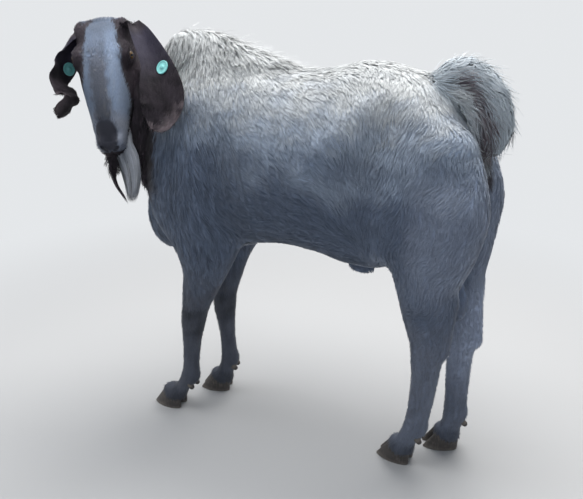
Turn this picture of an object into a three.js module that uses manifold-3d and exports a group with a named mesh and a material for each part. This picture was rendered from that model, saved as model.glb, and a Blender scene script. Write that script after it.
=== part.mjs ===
// A billy goat of the Boer kind, standing, with its head turned back to its left: a still, life-size model.
// Millimetres. +Z is up, the goat faces -X, its left side is -Y, and its hooves stand on z = 0.
import * as THREE from 'three';
import { mergeVertices } from 'three/addons/utils/BufferGeometryUtils.js';
import Module from 'manifold-3d';

const wasm = await Module();
wasm.setup();

// ---------------------------------------------------------------- driving sizes
const ORIGIN = [-38, -21];        // the middle of the model's box, seen from above, in the working axes
const GAP = 0.4;                  // air between two neighbouring solids
const HAIR_GAP = 4;               // air between the body and the long hair or loose skin that hangs on it
const HAIR_ROUND = 8;             // how far their edges are rounded there
const STEP = {                    // facet sizes fore and aft, across, and up
  trunk: [50, 30, 32], neck: [24, 24, 24], head: [16, 16, 16], leg: [15, 15, 36], tail: [22, 22, 22],
  beard: [10, 10, 14], scrotum: [20, 16, 26], sheath: [12, 10, 10],
};

// Rows of a barrel: station along it, upper line, lower line, widest level, half width.
const TRUNK = {
  rows: [
    [-332, 640, 455, 535, 66], [-292, 765, 438, 560, 102], [-235, 845, 430, 590, 130], [-160, 858, 444, 600, 143],
    [-80, 846, 468, 610, 150], [0, 832, 480, 625, 155], [70, 838, 474, 630, 156], [130, 852, 458, 640, 150],
    [200, 846, 462, 655, 142], [255, 826, 500, 668, 130], [305, 772, 560, 665, 112], [342, 704, 606, 655, 76]],
  power: 2.2, front: 26, back: 22,
};
// The standing crest of long hair from the nape to the withers.
const MANE = {
  rows: [
    [-304, 872, 690, 770, 50], [-280, 896, 690, 775, 62], [-240, 904, 690, 780, 72], [-185, 898, 690, 780, 74],
    [-130, 879, 690, 770, 72], [-80, 861, 690, 770, 64], [-40, 842, 700, 770, 54]],
  power: 2, front: 20, back: 40, blend: 26,
};
// Rows of a column: centre, half across, half above, half below.
const NECK = {
  rows: [
    [-170, 4, 660, 135, 150, 165], [-250, 0, 705, 110, 125, 150], [-315, -8, 748, 80, 75, 120],
    [-362, -26, 790, 60, 48, 78], [-402, -52, 845, 52, 44, 56]],
  above: [0, 0, 1], first: 60, last: 30, blend: 45,
};
// Rows of a leg: level, centre fore and aft, centre across, half fore and aft, half across.
const LEGS = {
  front_left: {
    rows: [
      [30, -316, -57, 29, 25], [62, -289, -58, 22, 20], [94, -266, -60, 26, 23], [124, -261, -60, 22, 20],
      [168, -256, -61, 22, 20], [220, -249, -62, 26, 23], [258, -243, -63, 31, 27], [293, -234, -65, 34, 28],
      [342, -216, -70, 43, 32], [396, -195, -77, 54, 38], [455, -186, -84, 76, 46], [540, -207, -88, 99, 52],
      [640, -205, -84, 100, 50], [740, -180, -70, 75, 45]],
    foot: [-318, -57, 0],
  },
  front_right: {
    rows: [
      [30, -246, 55, 28, 25], [62, -232, 54, 22, 20], [94, -219, 54, 25, 23], [124, -220, 52, 22, 20],
      [168, -220, 48, 21, 19], [220, -219, 41, 25, 23], [256, -218, 37, 29, 26], [293, -214, 36, 30, 27],
      [342, -206, 41, 36, 31], [396, -198, 49, 46, 38], [455, -188, 62, 66, 46], [540, -202, 80, 96, 52],
      [640, -205, 84, 100, 50], [740, -180, 70, 75, 45]],
    foot: [-248, 55, -14],
  },
  hind_left: {
    rows: [
      [30, 253, -15, 29, 25], [62, 268, -19, 24, 22], [96, 284, -24, 28, 25], [126, 288, -28, 26, 23],
      [182, 294, -36, 27, 24], [242, 299, -44, 29, 25], [286, 300, -50, 33, 27], [322, 301, -54, 37, 29],
      [362, 295, -58, 42, 34], [410, 291, -63, 51, 42], [460, 290, -68, 62, 52], [530, 291, -74, 87, 62],
      [620, 288, -72, 102, 66], [710, 268, -62, 92, 62]],
    foot: [255, -14, 6],
  },
  hind_right: {
    rows: [
      [30, 336, 72, 29, 25], [62, 345, 71, 24, 22], [96, 352, 70, 28, 25], [126, 350, 69, 26, 23],
      [182, 348, 68, 27, 24], [242, 347, 66, 29, 25], [286, 346, 64, 33, 27], [322, 338, 63, 37, 29],
      [362, 326, 62, 42, 34], [410, 318, 62, 54, 42], [460, 312, 66, 70, 52], [530, 298, 72, 92, 62],
      [620, 291, 72, 103, 66], [710, 268, 62, 92, 62]],
    foot: [337, 74, -20],
  },
};
const LEG_BLEND = 30;
// The cord above the point of each hock, from the point up into the thigh: the point, then its upper end.
const HOCK_CORD = {
  hind_left: [[329, -55, 314], [335, -66, 430]], hind_right: [[379, 64, 290], [362, 67, 420]],
  low: 12, high: 17, blend: 22,
};

// The head has axes of its own: along from the poll to the nose, across to its left, out of the brow.
const POLL = [-393, -104, 904];
const HEAD_TURN = { yaw: 114, pitch: 57, roll: 6.2 };
const HEAD = {
  rows: [
    [-18, -14, -88, -48, 42], [0, 0, -108, -50, 50], [36, 13, -122, -50, 55], [72, 19, -122, -48, 55],
    [108, 18, -114, -48, 50], [143, 11, -104, -48, 43], [178, 0, -96, -50, 36], [208, -15, -90, -54, 32],
    [230, -32, -86, -60, 28]],
  power: 2.2, front: 22, back: 18, blend: 22,
};
// Rounded forms of the head: centre and half sizes along, across and out of the brow; the pairs are mirrored.
const HEAD_FORMS = [
  { name: 'orbit', at: [58, 44, -15], half: [26, 17, 19], blend: 14, pair: true },
  { name: 'cheek', at: [88, 32, -74], half: [46, 20, 36], blend: 18, pair: true },
  { name: 'ear base', at: [-4, 43, -18], half: [20, 16, 17], blend: 16, pair: true },
  { name: 'nostril wing', at: [228, 16, -38], half: [15, 11, 12], blend: 10, pair: true },
  { name: 'chin', at: [212, 0, -90], half: [28, 22, 15], blend: 12, pair: false },
  { name: 'chin tuft', at: [248, -8, -87], half: [36, 21, 14], blend: 14, pair: false },
];
const EYE = { at: [60, 53, -14], radius: 14.5 };

// Rows of an ear: centre of the blade, half width, cup, and the turn and rise of its width in degrees.
const EARS = {
  ear_left: {
    rows: [
      [-336, -70, 911, 14, 9, 31, -16], [-298, -92, 885, 22, 11, 22, 12],
      [-257, -116, 848, 30, 13, 16, 16], [-231, -138, 811, 43, 12, 14, 14],
      [-218, -153, 775, 47, 9, 13, 9], [-223, -164, 744, 36, 6, 14, 22],
      [-230, -172, 724, 18, 3, 14, 26]],
    tag: 0.41, tagAcross: 0.3,
  },
  ear_right: {
    rows: [
      [-433, -104, 903, 14, 9, 144, 14], [-453, -114, 877, 22, 10, 104, 6],
      [-467, -118, 849, 29, 10, 83, 0], [-471, -132, 823, 34, 9, 91, 0],
      [-469, -150, 801, 38, 6, 112, 0], [-449, -158, 781, 38, 1, 112, 0],
      [-435, -162, 767, 35, -4, 112, 0], [-439, -174, 751, 28, -6, 115, 0],
      [-449, -186, 734, 15, -4, 115, 0]],
    tag: 0.36, tagAcross: 0.4,
  },
};
const EAR_THICK = 6;
const TAG = { radius: 13.5, thick: 2.4, pin: 2.6 };

const TAIL = {
  rows: [
    [258, 0, 806, 26, 22, 22], [286, 0, 832, 30, 24, 24], [318, 2, 834, 32, 26, 26], [345, 4, 812, 34, 27, 27],
    [366, 6, 778, 34, 26, 26], [377, 8, 738, 32, 23, 23], [380, 8, 706, 22, 15, 15]],
  above: [0, 1, 0], first: 20, last: 16,
};
const BEARD = {
  rows: [
    [-338, -136, 676, 26, 19, 19], [-322, -142, 652, 27, 19, 19], [-306, -155, 622, 22, 16, 16],
    [-295, -170, 596, 15, 12, 12], [-290, -183, 574, 8, 7, 7]],
  above: [0, 1, 0.2], first: 16, last: 12,
};
const SCROTUM = {
  rows: [
    [306, 0, 490, 20, 24, 24], [318, 0, 446, 19, 28, 28], [328, 1, 402, 21, 33, 33], [332, 2, 374, 20, 26, 26]],
  above: [1, 0, 0], first: 14, last: 16,
};
const SHEATH = { at: [141, -6, 449], half: [30, 14, 20] };
const BRISKET = { at: [-308, -8, 486], half: [56, 66, 72], blend: 30 };
const DEWCLAW = { height: 76, side: 12, radius: 6.5, long: 9, out: 3, drop: 0.8 };   // behind each fetlock
// A claw: its sole fore, aft and across, the levels of its coronet at toe and heel, the lean of its toe wall,
// half the cleft, and, as shares of its width, its bulge, the bevel of the sole's edge and the taper to the toe.
const HOOF = {
  front: 54, back: 24, half: 12.5, toe: 43, heel: 27, slope: 30, cleft: 1.2,
  bulge: 0.06, bevel: 0.05, taper: 0.3, toeIn: 2.2, over: 9,
};
const LEG_REACH = 440;            // the level below which a leg's solid is looked for
const SCOOP = 2;                  // how far a leg's solid may pass the goat's middle

// Planes that part the solids: a direction, and how far along it the plane lies.
const NECK_CUT = { way: [-0.854, 0, 0.52], far: 586 };
const HEAD_CUT = { way: [-0.5, -0.75, 0.43], far: 567 };
const LEG_CUT = { way: [0.05, 0, -1], far: -410 };

// ---------------------------------------------------------------- small vector sums
const dot = (a, b) => a[0] * b[0] + a[1] * b[1] + a[2] * b[2];
const minus = (a, b) => [a[0] - b[0], a[1] - b[1], a[2] - b[2]];
const plus = (a, b, k = 1) => [a[0] + k * b[0], a[1] + k * b[1], a[2] + k * b[2]];
const cross = (a, b) => [a[1] * b[2] - a[2] * b[1], a[2] * b[0] - a[0] * b[2], a[0] * b[1] - a[1] * b[0]];
const unit = (a) => { const l = Math.hypot(...a); return [a[0] / l, a[1] / l, a[2] / l]; };
const distance = (a, b) => Math.hypot(...minus(a, b));
const clamp = (t) => Math.min(Math.max(t, 0), 1);
const rad = THREE.MathUtils.degToRad;

/** Smooth curves through the rows of a table, held flat beyond its ends. */
function course(rows) {
  const end = rows.length - 1;
  const rise = rows.slice(1).map((r, i) => r.map((v, c) => (v - rows[i][c]) / (r[0] - rows[i][0])));
  const slope = rows.map((r, i) => {
    if (i === 0) return rise[0];
    if (i === end) return rise[end - 1];
    const [a, b] = [rows[i][0] - rows[i - 1][0], rows[i + 1][0] - rows[i][0]];
    return r.map((_, c) => (rise[i - 1][c] * b + rise[i][c] * a) / (a + b));
  });
  return (s) => {
    const x = Math.min(Math.max(s, rows[0][0]), rows[end][0]);
    let i = 0;
    while (i < end - 1 && x >= rows[i + 1][0]) i += 1;
    const h = rows[i + 1][0] - rows[i][0];
    const t = (x - rows[i][0]) / h;
    const [p, q] = [t * t * (3 - 2 * t), t * (1 - t)];
    return rows[i].map((v, c) => v * (1 - p) + rows[i + 1][c] * p
      + h * q * ((1 - t) * slope[i][c] - t * slope[i + 1][c]));
  };
}

/** The lesser of two distances, rounded over where they are within k of each other. */
function blend(a, b, k) {
  if (k <= 0) return Math.min(a, b);
  const h = clamp(0.5 + (0.5 * (b - a)) / k);
  return b + (a - b) * h - k * h * (1 - h);
}

// ---------------------------------------------------------------- forms, as distances from their surfaces
/** A barrel along the first of its axes, from rows of its upper and lower lines and its width. */
function barrel(form, from = [0, 0, 0], axes = [[1, 0, 0], [0, 1, 0], [0, 0, 1]]) {
  const along = course(form.rows);
  const [start, end] = [form.rows[0][0], form.rows.at(-1)[0]];
  const n = form.power;
  return (x, y, z) => {
    const d = [x - from[0], y - from[1], z - from[2]];
    const [s, across, level] = axes.map((a) => dot(d, a));
    const [, top, bottom, mid, half] = along(s);
    const up = level - mid;
    const tall = up > 0 ? top - mid : mid - bottom;
    const [before, after] = [start - s, s - end];
    const ex = Math.max(before / form.front, after / form.back, 0);
    const cap = before > after ? form.front : form.back;
    const [u, v] = [Math.abs(across / half), Math.abs(up / tall)];
    const k0 = Math.sqrt((u ** n + v ** n) ** (2 / n) + ex * ex);
    const k1 = Math.hypot(u ** (n - 1) / half, v ** (n - 1) / tall, ex / cap) * k0 ** (2 - n) + 1e-9;
    return ((k0 - 1) * k0) / k1;
  };
}

/** A column carried along a smooth line of oval sections. */
function column(form, parts = 4) {
  const rows = form.rows.map((r, i) => [i, ...r]);
  const at = course(rows);
  const count = (rows.length - 1) * parts;
  const knots = Array.from({ length: count + 1 }, (_, i) => at(i / parts).slice(1));
  const links = knots.slice(1).map((b, i) => {
    const a = knots[i];
    const d = minus(b, a);
    const f = unit(d);
    const side = unit(cross(form.above, f));
    return { a, b, d, f, side, up: cross(f, side), long: dot(d, d) };
  });
  return (x, y, z) => {
    let best = Infinity;
    let out = Infinity;
    for (const { a, b, d, f, side, up, long } of links) {
      const q = [x - a[0], y - a[1], z - a[2]];
      const t = clamp(dot(q, d) / long);
      const v = plus(q, d, -t);
      const far = dot(v, v);
      if (far < best) {
        best = far;
        const [c, h, e] = [dot(v, side), dot(v, up), dot(v, f)];
        const w = a[3] + (b[3] - a[3]) * t;
        const k = h > 0 ? 4 : 5;
        const r = a[k] + (b[k] - a[k]) * t;
        const cap = e < 0 ? form.first : form.last;
        const k0 = Math.hypot(c / w, h / r, e / cap);
        out = (k0 * (k0 - 1)) / (Math.hypot(c / w ** 2, h / r ** 2, e / cap ** 2) + 1e-9);
      }
    }
    return out;
  };
}

/** A leg: oval sections stacked up its levels. */
function leg(rows, low = 10, high = 60) {
  const at = course(rows);
  const [foot, top] = [rows[0][0], rows.at(-1)[0]];
  return (x, y, z) => {
    const [, cx, cy, rx, ry] = at(z);
    const [below, above] = [foot - z, z - top];
    const ez = Math.max(below / low, above / high, 0);
    const cap = below > above ? low : high;
    const [a, b] = [(x - cx) / rx, (y - cy) / ry];
    const k0 = Math.hypot(a, b, ez);
    return (k0 * (k0 - 1)) / (Math.hypot(a / rx, b / ry, ez / cap) + 1e-9);
  };
}

/** An egg of three half sizes. */
function egg(at, half, axes = [[1, 0, 0], [0, 1, 0], [0, 0, 1]]) {
  return (x, y, z) => {
    const d = [x - at[0], y - at[1], z - at[2]];
    const q = axes.map((a, i) => dot(d, a) / half[i]);
    const k0 = Math.hypot(...q);
    return (k0 * (k0 - 1)) / (Math.hypot(q[0] / half[0], q[1] / half[1], q[2] / half[2]) + 1e-9);
  };
}

/** A round rod that tapers from its first end to its second. */
function rod(a, b, ra, rb) {
  const d = minus(b, a);
  const long = dot(d, d);
  return (x, y, z) => {
    const q = [x - a[0], y - a[1], z - a[2]];
    const t = clamp(dot(q, d) / long);
    return Math.hypot(...plus(q, d, -t)) - (ra + (rb - ra) * t);
  };
}

/** The axes of the head from the way it is turned. */
function headAxes({ yaw, pitch, roll }) {
  const [g, d, r] = [rad(yaw), rad(pitch), rad(roll)];
  const f = [-Math.cos(g), -Math.sin(g), 0];
  const x = [f[0] * Math.cos(d), f[1] * Math.cos(d), -Math.sin(d)];
  const up = [f[0] * Math.sin(d), f[1] * Math.sin(d), Math.cos(d)];
  const left = cross(up, x);
  const turn = (p, q, a, b) => [0, 1, 2].map((i) => a * p[i] + b * q[i]);
  return [turn(x, left, Math.cos(r), Math.sin(r)), turn(x, left, -Math.sin(r), Math.cos(r)), up];
}
const AXES = headAxes(HEAD_TURN);
const onHead = (s, across, out) => plus(plus(plus(POLL, AXES[0], s), AXES[1], across), AXES[2], out);

/** The whole body as one smooth form; the ears, tail, beard and scrotum join it as solids of their own. */
function bodyForm() {
  const forms = [
    [barrel(TRUNK), 0], [barrel(MANE), MANE.blend], [column(NECK), NECK.blend],
    ...Object.values(LEGS).map(({ rows }) => [leg(rows), LEG_BLEND]),
    [egg(BRISKET.at, BRISKET.half), BRISKET.blend],
    ...[HOCK_CORD.hind_left, HOCK_CORD.hind_right]
      .map(([a, b]) => [rod(a, b, HOCK_CORD.low, HOCK_CORD.high), HOCK_CORD.blend]),
    [barrel(HEAD, POLL, AXES), HEAD.blend],
  ];
  for (const { at, half, blend: k, pair } of HEAD_FORMS) {
    for (const side of pair ? [-1, 1] : [1]) {
      forms.push([egg(onHead(at[0], side * at[1], at[2]), half, AXES), k]);
    }
  }
  return (x, y, z) => forms.reduce((v, [form, k]) => blend(v, form(x, y, z), k), Infinity);
}

// ---------------------------------------------------------------- from forms to solids
// A grid cell: its corners are numbered by their three bits, and each edge and face names its corners.
const spot = (bits) => bits[0] * 4 + bits[1] * 2 + bits[2];
const corner = (axis, along, p, q) => {
  const bits = [0, 0, 0];
  bits[axis] = along;
  bits[(axis + 1) % 3] = p;
  bits[(axis + 2) % 3] = q;
  return spot(bits);
};
const RING = [[0, 0], [1, 0], [1, 1], [0, 1]];
const EDGES = [0, 1, 2].flatMap((axis) => RING.map(([p, q]) => [corner(axis, 0, p, q), corner(axis, 1, p, q)]));
const FACES = [0, 1, 2].flatMap((axis) => [0, 1].map((side) => RING.map(([p, q]) => corner(axis, side, p, q))));
const edgeOf = (a, b) => EDGES.findIndex(([c, d]) => (a === c && b === d) || (a === d && b === c));
const FACE_EDGES = FACES.map((face) => face.map((c, i) => edgeOf(c, face[(i + 1) % 4])));

/** For each crossed edge of a cell, the sheet of surface it belongs to. */
function sheetsOf(value) {
  const sheet = EDGES.map(([a, b], i) => ((value[a] < 0) !== (value[b] < 0) ? i : -1));
  const join = (a, b) => {
    const [from, to] = [sheet[a], sheet[b]];
    for (let i = 0; i < 12; i += 1) if (sheet[i] === from) sheet[i] = to;
  };
  FACES.forEach((face, f) => {
    const round = FACE_EDGES[f];
    const crossed = round.filter((e) => sheet[e] >= 0);
    if (crossed.length === 2) join(...crossed);
    if (crossed.length < 4) return;
    const middleIn = face.reduce((sum, c) => sum + value[c], 0) < 0;
    face.forEach((c, i) => {
      if ((value[c] < 0) !== middleIn) join(round[i], round[(i + 3) % 4]);
    });
  });
  return sheet;
}

/** The solid inside a form, faceted to a step, within the box from low to high. */
function solidOf(form, low, high, step) {
  const size = low.map((v, a) => Math.ceil((high[a] - v) / step[a]) + 1);
  const [nx, ny, nz] = size;
  const id = (i, j, k) => (i * ny + j) * nz + k;
  const value = new Float64Array(nx * ny * nz);
  for (let i = 0; i < nx; i += 1) {
    for (let j = 0; j < ny; j += 1) {
      for (let k = 0; k < nz; k += 1) {
        // The box's own faces count as outside, so that every solid closes.
        const rim = i * j * k === 0 || i === nx - 1 || j === ny - 1 || k === nz - 1;
        value[id(i, j, k)] = rim ? step[0] : form(...[i, j, k].map((n, c) => low[c] + n * step[c]));
      }
    }
  }
  // One corner of the net for each sheet in each cell, at the mean of its crossings.
  const vertex = new Int32Array(value.length * 12).fill(-1);
  const points = [];
  for (let i = 0; i < nx - 1; i += 1) {
    for (let j = 0; j < ny - 1; j += 1) {
      for (let k = 0; k < nz - 1; k += 1) {
        const at = (c) => value[id(i + (c >> 2), j + ((c >> 1) & 1), k + (c & 1))];
        const corners = [0, 1, 2, 3, 4, 5, 6, 7].map(at);
        if (corners.every((v) => v < 0) || corners.every((v) => v >= 0)) continue;
        const sheet = sheetsOf(corners);
        for (const own of new Set(sheet.filter((s) => s >= 0))) {
          const sum = [0, 0, 0];
          const members = EDGES.map((_, e) => e).filter((e) => sheet[e] === own);
          for (const e of members) {
            const [a, b] = EDGES[e];
            const t = corners[a] / (corners[a] - corners[b]);
            [2, 1, 0].forEach((bit, c) => { sum[c] += ((a >> bit) & 1) * (1 - t) + ((b >> bit) & 1) * t; });
            vertex[id(i, j, k) * 12 + e] = points.length;
          }
          points.push([i, j, k].map((m, c) => low[c] + (m + sum[c] / members.length) * step[c]));
        }
      }
    }
  }
  for (const p of points) settle(p, form, step);
  return solidFrom(points.flat(), facetsOf(value, vertex, points, size));
}

/** Two facets across each grid edge that the surface crosses. */
function facetsOf(value, vertex, points, [nx, ny, nz]) {
  const id = (i, j, k) => (i * ny + j) * nz + k;
  const triangles = [];
  for (let i = 1; i < nx - 1; i += 1) {
    for (let j = 1; j < ny - 1; j += 1) {
      for (let k = 1; k < nz - 1; k += 1) {
        const here = value[id(i, j, k)] < 0;
        for (const axis of [0, 1, 2]) {
          for (const way of [1, -1]) {
            // The edge from a point inside to a neighbour outside, seen from either end of it.
            const there = [i, j, k];
            there[axis] += way;
            if (!here || value[id(...there)] < 0) continue;
            const start = way > 0 ? [i, j, k] : there;
            const ring = RING.map(([p, q], n) => {
              const cell = [...start];
              cell[(axis + 1) % 3] -= p;
              cell[(axis + 2) % 3] -= q;
              return vertex[id(...cell) * 12 + axis * 4 + n];
            });
            if (way < 0) ring.reverse();
            const [a, b, c, d] = ring;
            const short = distance(points[a], points[c]) < distance(points[b], points[d]);
            if (short) triangles.push(a, b, c, a, c, d);
            else triangles.push(a, b, d, b, c, d);
          }
        }
      }
    }
  }
  return triangles;
}
/** Moves a point onto the surface of a form, by no more than a third of a step at a time. */
function settle(p, form, step) {
  for (let turn = 0; turn < 3; turn += 1) {
    const f = form(...p);
    const g = [0, 1, 2].map((c) => {
      const [a, b] = [[...p], [...p]];
      a[c] += 0.5;
      b[c] -= 0.5;
      return form(...a) - form(...b);
    });
    const far = f / Math.max(dot(g, g), 0.25);
    const most = Math.min(...step) / 3 / Math.max(Math.abs(far) * Math.hypot(...g), 1e-9);
    const k = far * Math.min(1, most);
    for (let c = 0; c < 3; c += 1) p[c] -= k * g[c];
  }
}

/** A solid from bare points and triangles. */
function solidFrom(points, triangles) {
  return wasm.Manifold.ofMesh(new wasm.Mesh({
    numProp: 3, vertProperties: new Float32Array(points), triVerts: new Uint32Array(triangles),
  }));
}

/** A solid from one of three's geometries. */
function solidOfGeometry(geometry) {
  const bare = new THREE.BufferGeometry();
  const source = geometry.index ? geometry : mergeVertices(geometry);
  bare.setAttribute('position', source.getAttribute('position'));
  bare.setIndex(source.index);
  const merged = mergeVertices(bare, 1e-4);
  return solidFrom(merged.getAttribute('position').array, merged.index.array);
}

/** The largest piece of a solid, without the crumbs a cut leaves. */
function largest(solid) {
  const pieces = solid.decompose();
  pieces.sort((a, b) => b.volume() - a.volume());
  return pieces[0];
}

/** A solid together with the thin layer of air round it, to cut its neighbours back by. */
function grown(solid, by) {
  const mesh = solid.getMesh();
  const [p, t] = [mesh.vertProperties, mesh.triVerts];
  const n = new Float64Array(p.length);
  for (let i = 0; i < t.length; i += 3) {
    const [a, b, c] = [0, 1, 2].map((k) => [0, 1, 2].map((m) => p[t[i + k] * 3 + m]));
    const face = cross(minus(b, a), minus(c, a));
    for (let k = 0; k < 3; k += 1) for (let m = 0; m < 3; m += 1) n[t[i + k] * 3 + m] += face[m];
  }
  const moved = Array.from(p, (v, i) => {
    const k = i - (i % 3);
    return v + (by * n[i]) / (Math.hypot(n[k], n[k + 1], n[k + 2]) + 1e-12);
  });
  return solidFrom(moved, t).add(solid);
}

/** The part of a form on the far side of a plane, and a little more, to be trimmed to the plane. */
const beyond = (form, { way, far }, step) => (x, y, z) => (
  Math.max(form(x, y, z), far - Math.max(...step) - dot([x, y, z], way))
);
const before = (form, { way, far }, step) => (x, y, z) => (
  Math.max(form(x, y, z), dot([x, y, z], way) - far - Math.max(...step))
);
const trimBeyond = (solid, { way, far }) => solid.trimByPlane(way, (far + GAP / 2) / Math.hypot(...way));
const trimBefore = (solid, { way, far }) => (
  solid.trimByPlane(way.map((v) => -v), (GAP / 2 - far) / Math.hypot(...way))
);

/** An ear at one station: its centre, half width and cup, and the ways its width and its hollow side face. */
function bladeAt(at, t, last) {
  const [, x, y, z, half, cup, turn, rise] = at(t);
  const [a, b] = [at(Math.max(t - 0.05, 0)), at(Math.min(t + 0.05, last))];
  const f = unit(minus(b.slice(1, 4), a.slice(1, 4)));
  const level = [Math.cos(rad(turn)), Math.sin(rad(turn)), 0];
  const lie = plus(level.map((v) => v * Math.cos(rad(rise))), [0, 0, 1], Math.sin(rad(rise)));
  const w = unit(plus(lie, f, -dot(lie, f)));
  return { c: [x, y, z], half, cup, w, n: cross(w, f) };
}

/** A closed sheet lofted through the rows of an ear: cupped, thickest along its middle. */
function earSolid({ rows }, long = 12, wide = 4) {
  const at = course(rows.map((r, i) => [i, ...r]));
  const last = rows.length - 1;
  const stations = Array.from({ length: long + 1 }, (_, i) => bladeAt(at, (last * i) / long, last));
  const points = [];
  const ring = 2 * wide;
  for (const { c, half, cup, w, n } of stations) {
    for (let j = 0; j < ring; j += 1) {
      const a = (2 * Math.PI * j) / ring;
      const v = Math.cos(a);
      const deep = cup * (1 - v * v) - cup / 2 + (EAR_THICK / 2) * Math.sin(a);
      points.push(...plus(plus(c, w, half * v), n, deep));
    }
  }
  return lofted(points, ring, stations.length);
}

/** A closed solid from rings of points, one after another, with a flat cap at each end. */
function lofted(points, ring, count) {
  const t = [];
  for (let i = 0; i < count - 1; i += 1) {
    for (let j = 0; j < ring; j += 1) {
      const [a, b] = [i * ring + j, i * ring + ((j + 1) % ring)];
      t.push(a, b, b + ring, a, b + ring, a + ring);
    }
  }
  const caps = [0, count - 1].map((i) => {
    const c = [0, 0, 0];
    for (let n = 0; n < 3 * ring; n += 1) c[n % 3] += points[i * ring * 3 + n] / ring;
    points.push(...c);
    return points.length / 3 - 1;
  });
  for (let j = 0; j < ring; j += 1) {
    const k = (j + 1) % ring;
    const top = (count - 1) * ring;
    t.push(caps[0], k, j, caps[1], top + j, top + k);
  }
  const solid = solidFrom(points, t);
  return solid.volume() < 0 ? solidFrom(points, t.reverse()) : solid;
}

/** One claw of a hoof, standing on its flat sole; side is -1 or 1 across the foot. */
function claw([fx, fy, yaw], side) {
  const rings = 3;
  const around = 11;
  const [cy, sy] = [Math.cos(rad(yaw)), Math.sin(rad(yaw))];
  const points = [];
  for (let i = 0; i < rings; i += 1) {
    const t = i / (rings - 1);
    const toe = HOOF.front - HOOF.slope * t;
    const long = ((toe + HOOF.back) / 2) * (i === 0 ? 1 - HOOF.bevel / 3 : 1);
    const half = HOOF.half * (1 + HOOF.bulge * Math.sin(Math.PI * t) - (i === 0 ? HOOF.bevel : 0));
    for (let j = 0; j < around; j += 1) {
      const a = (2 * Math.PI * j) / around;
      const [c, s] = [Math.cos(a), Math.sin(a)];
      const forward = Math.max(c, 0) ** 2;
      // The wall stands higher than the coronet, to be trimmed to it.
      const top = (HOOF.toe + HOOF.heel + (HOOF.toe - HOOF.heel) * c) / 2 + HOOF.over;
      const x = (HOOF.back - toe) / 2 - c * long;
      let y = side * (HOOF.half + HOOF.cleft - HOOF.toeIn * forward) + s * half * (1 - HOOF.taper * forward);
      if (side * y < HOOF.cleft) y = side * HOOF.cleft;
      points.push(fx + x * cy + y * sy, fy - x * sy + y * cy, top * t);
    }
  }
  return lofted(points, around, rings);
}

/** A dewclaw: a blunt horn peg behind the fetlock, pointing back and down. */
function dewclaw(rows, [, , yaw], side) {
  const [, cx, cy, half] = course(rows)(DEWCLAW.height);
  const [c, s] = [Math.cos(rad(yaw)), Math.sin(rad(yaw))];
  const peg = new THREE.CapsuleGeometry(DEWCLAW.radius, DEWCLAW.long, 2, 5);
  const way = new THREE.Vector3(c, -s, -DEWCLAW.drop).normalize();
  peg.applyQuaternion(new THREE.Quaternion().setFromUnitVectors(new THREE.Vector3(0, 1, 0), way));
  const [back, across] = [[c, -s, 0], [s, c, 0]];
  const root = plus(plus([cx, cy, DEWCLAW.height], back, half), across, side * DEWCLAW.side);
  peg.translate(...plus(root, way.toArray(), DEWCLAW.out));
  return solidOfGeometry(peg);
}

/** The solid of one column, shaped further by a second function of its form. */
function hull(form, step, shaped) {
  const far = (pick, by) => [0, 1, 2].map((c) => pick(...form.rows.map((r) => r[c])) + by);
  return largest(solidOf(shaped(column(form)), far(Math.min, -60), far(Math.max, 60), step));
}

/** The solid of one egg, shaped further by a second function of its form. */
function eggSolid({ at, half }, step, shaped) {
  const far = (way) => at.map((v, c) => v + way * (half[c] + 2 * step[c]));
  return largest(solidOf(shaped(egg(at, half)), far(-1), far(1), step));
}

/** The plane of a foot's coronet, sloping down to the heel. */
function coronet([fx, fy, yaw]) {
  const rise = (HOOF.toe - HOOF.heel) / (HOOF.front - HOOF.slope + HOOF.back);
  const way = unit([Math.cos(rad(yaw)) * rise, -Math.sin(rad(yaw)) * rise, 1]);
  return { way, far: dot(way, [fx, fy, (HOOF.toe + HOOF.heel) / 2]) };
}

/** An ear tag: a disc on either face and a pin through the blade; more adds air all round. */
function tagSolid({ rows, tag, tagAcross }, more = 0) {
  const at = course(rows.map((r, i) => [i, ...r]));
  const blade = bladeAt(at, tag * (rows.length - 1), rows.length - 1);
  const { half, cup, w } = blade;
  const n = unit(plus(blade.n, w, (2 * cup * tagAcross) / half));
  const c = plus(plus(blade.c, w, half * tagAcross), blade.n, cup * (1 - tagAcross ** 2) - cup / 2);
  const [face, wide, pin] = [EAR_THICK / 2, TAG.radius + more, TAG.pin + more];
  const [inner, outer] = [face - more, face + TAG.thick + more];
  const profile = [
    [0, -outer], [wide, -outer], [wide, -inner], [pin, -inner], [pin, inner], [wide, inner], [wide, outer], [0, outer]];
  const lathe = new THREE.LatheGeometry(profile.map(([r, h]) => new THREE.Vector2(r, h)), 11);
  const turn = new THREE.Quaternion().setFromUnitVectors(new THREE.Vector3(0, 1, 0), new THREE.Vector3(...n));
  lathe.applyQuaternion(turn);
  lathe.translate(...c);
  return solidOfGeometry(lathe);
}

/** A ball, such as an eye. */
function ball(at, radius, detail = 5) {
  const geometry = new THREE.SphereGeometry(radius, 2 * detail, detail);
  geometry.translate(...at);
  return solidOfGeometry(geometry);
}

// ---------------------------------------------------------------- the goat
const group = new THREE.Group();
group.name = 'goat';
const COAT = { color: 0xb9bec6, roughness: 0.85 };
const DARK = { color: 0x2a2226, roughness: 0.8 };
const HORN = { color: 0x24211f, roughness: 0.55 };
const LOOKS = {
  trunk: COAT, neck: COAT, tail: COAT, beard: COAT, scrotum: COAT, sheath: COAT, leg: COAT,
  head: DARK, ear: DARK, hoof: HORN, dewclaw: HORN,
  eye: { color: 0x1a1410, roughness: 0.1 }, tag: { color: 0x2f8f8a, roughness: 0.45 },
};

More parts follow.
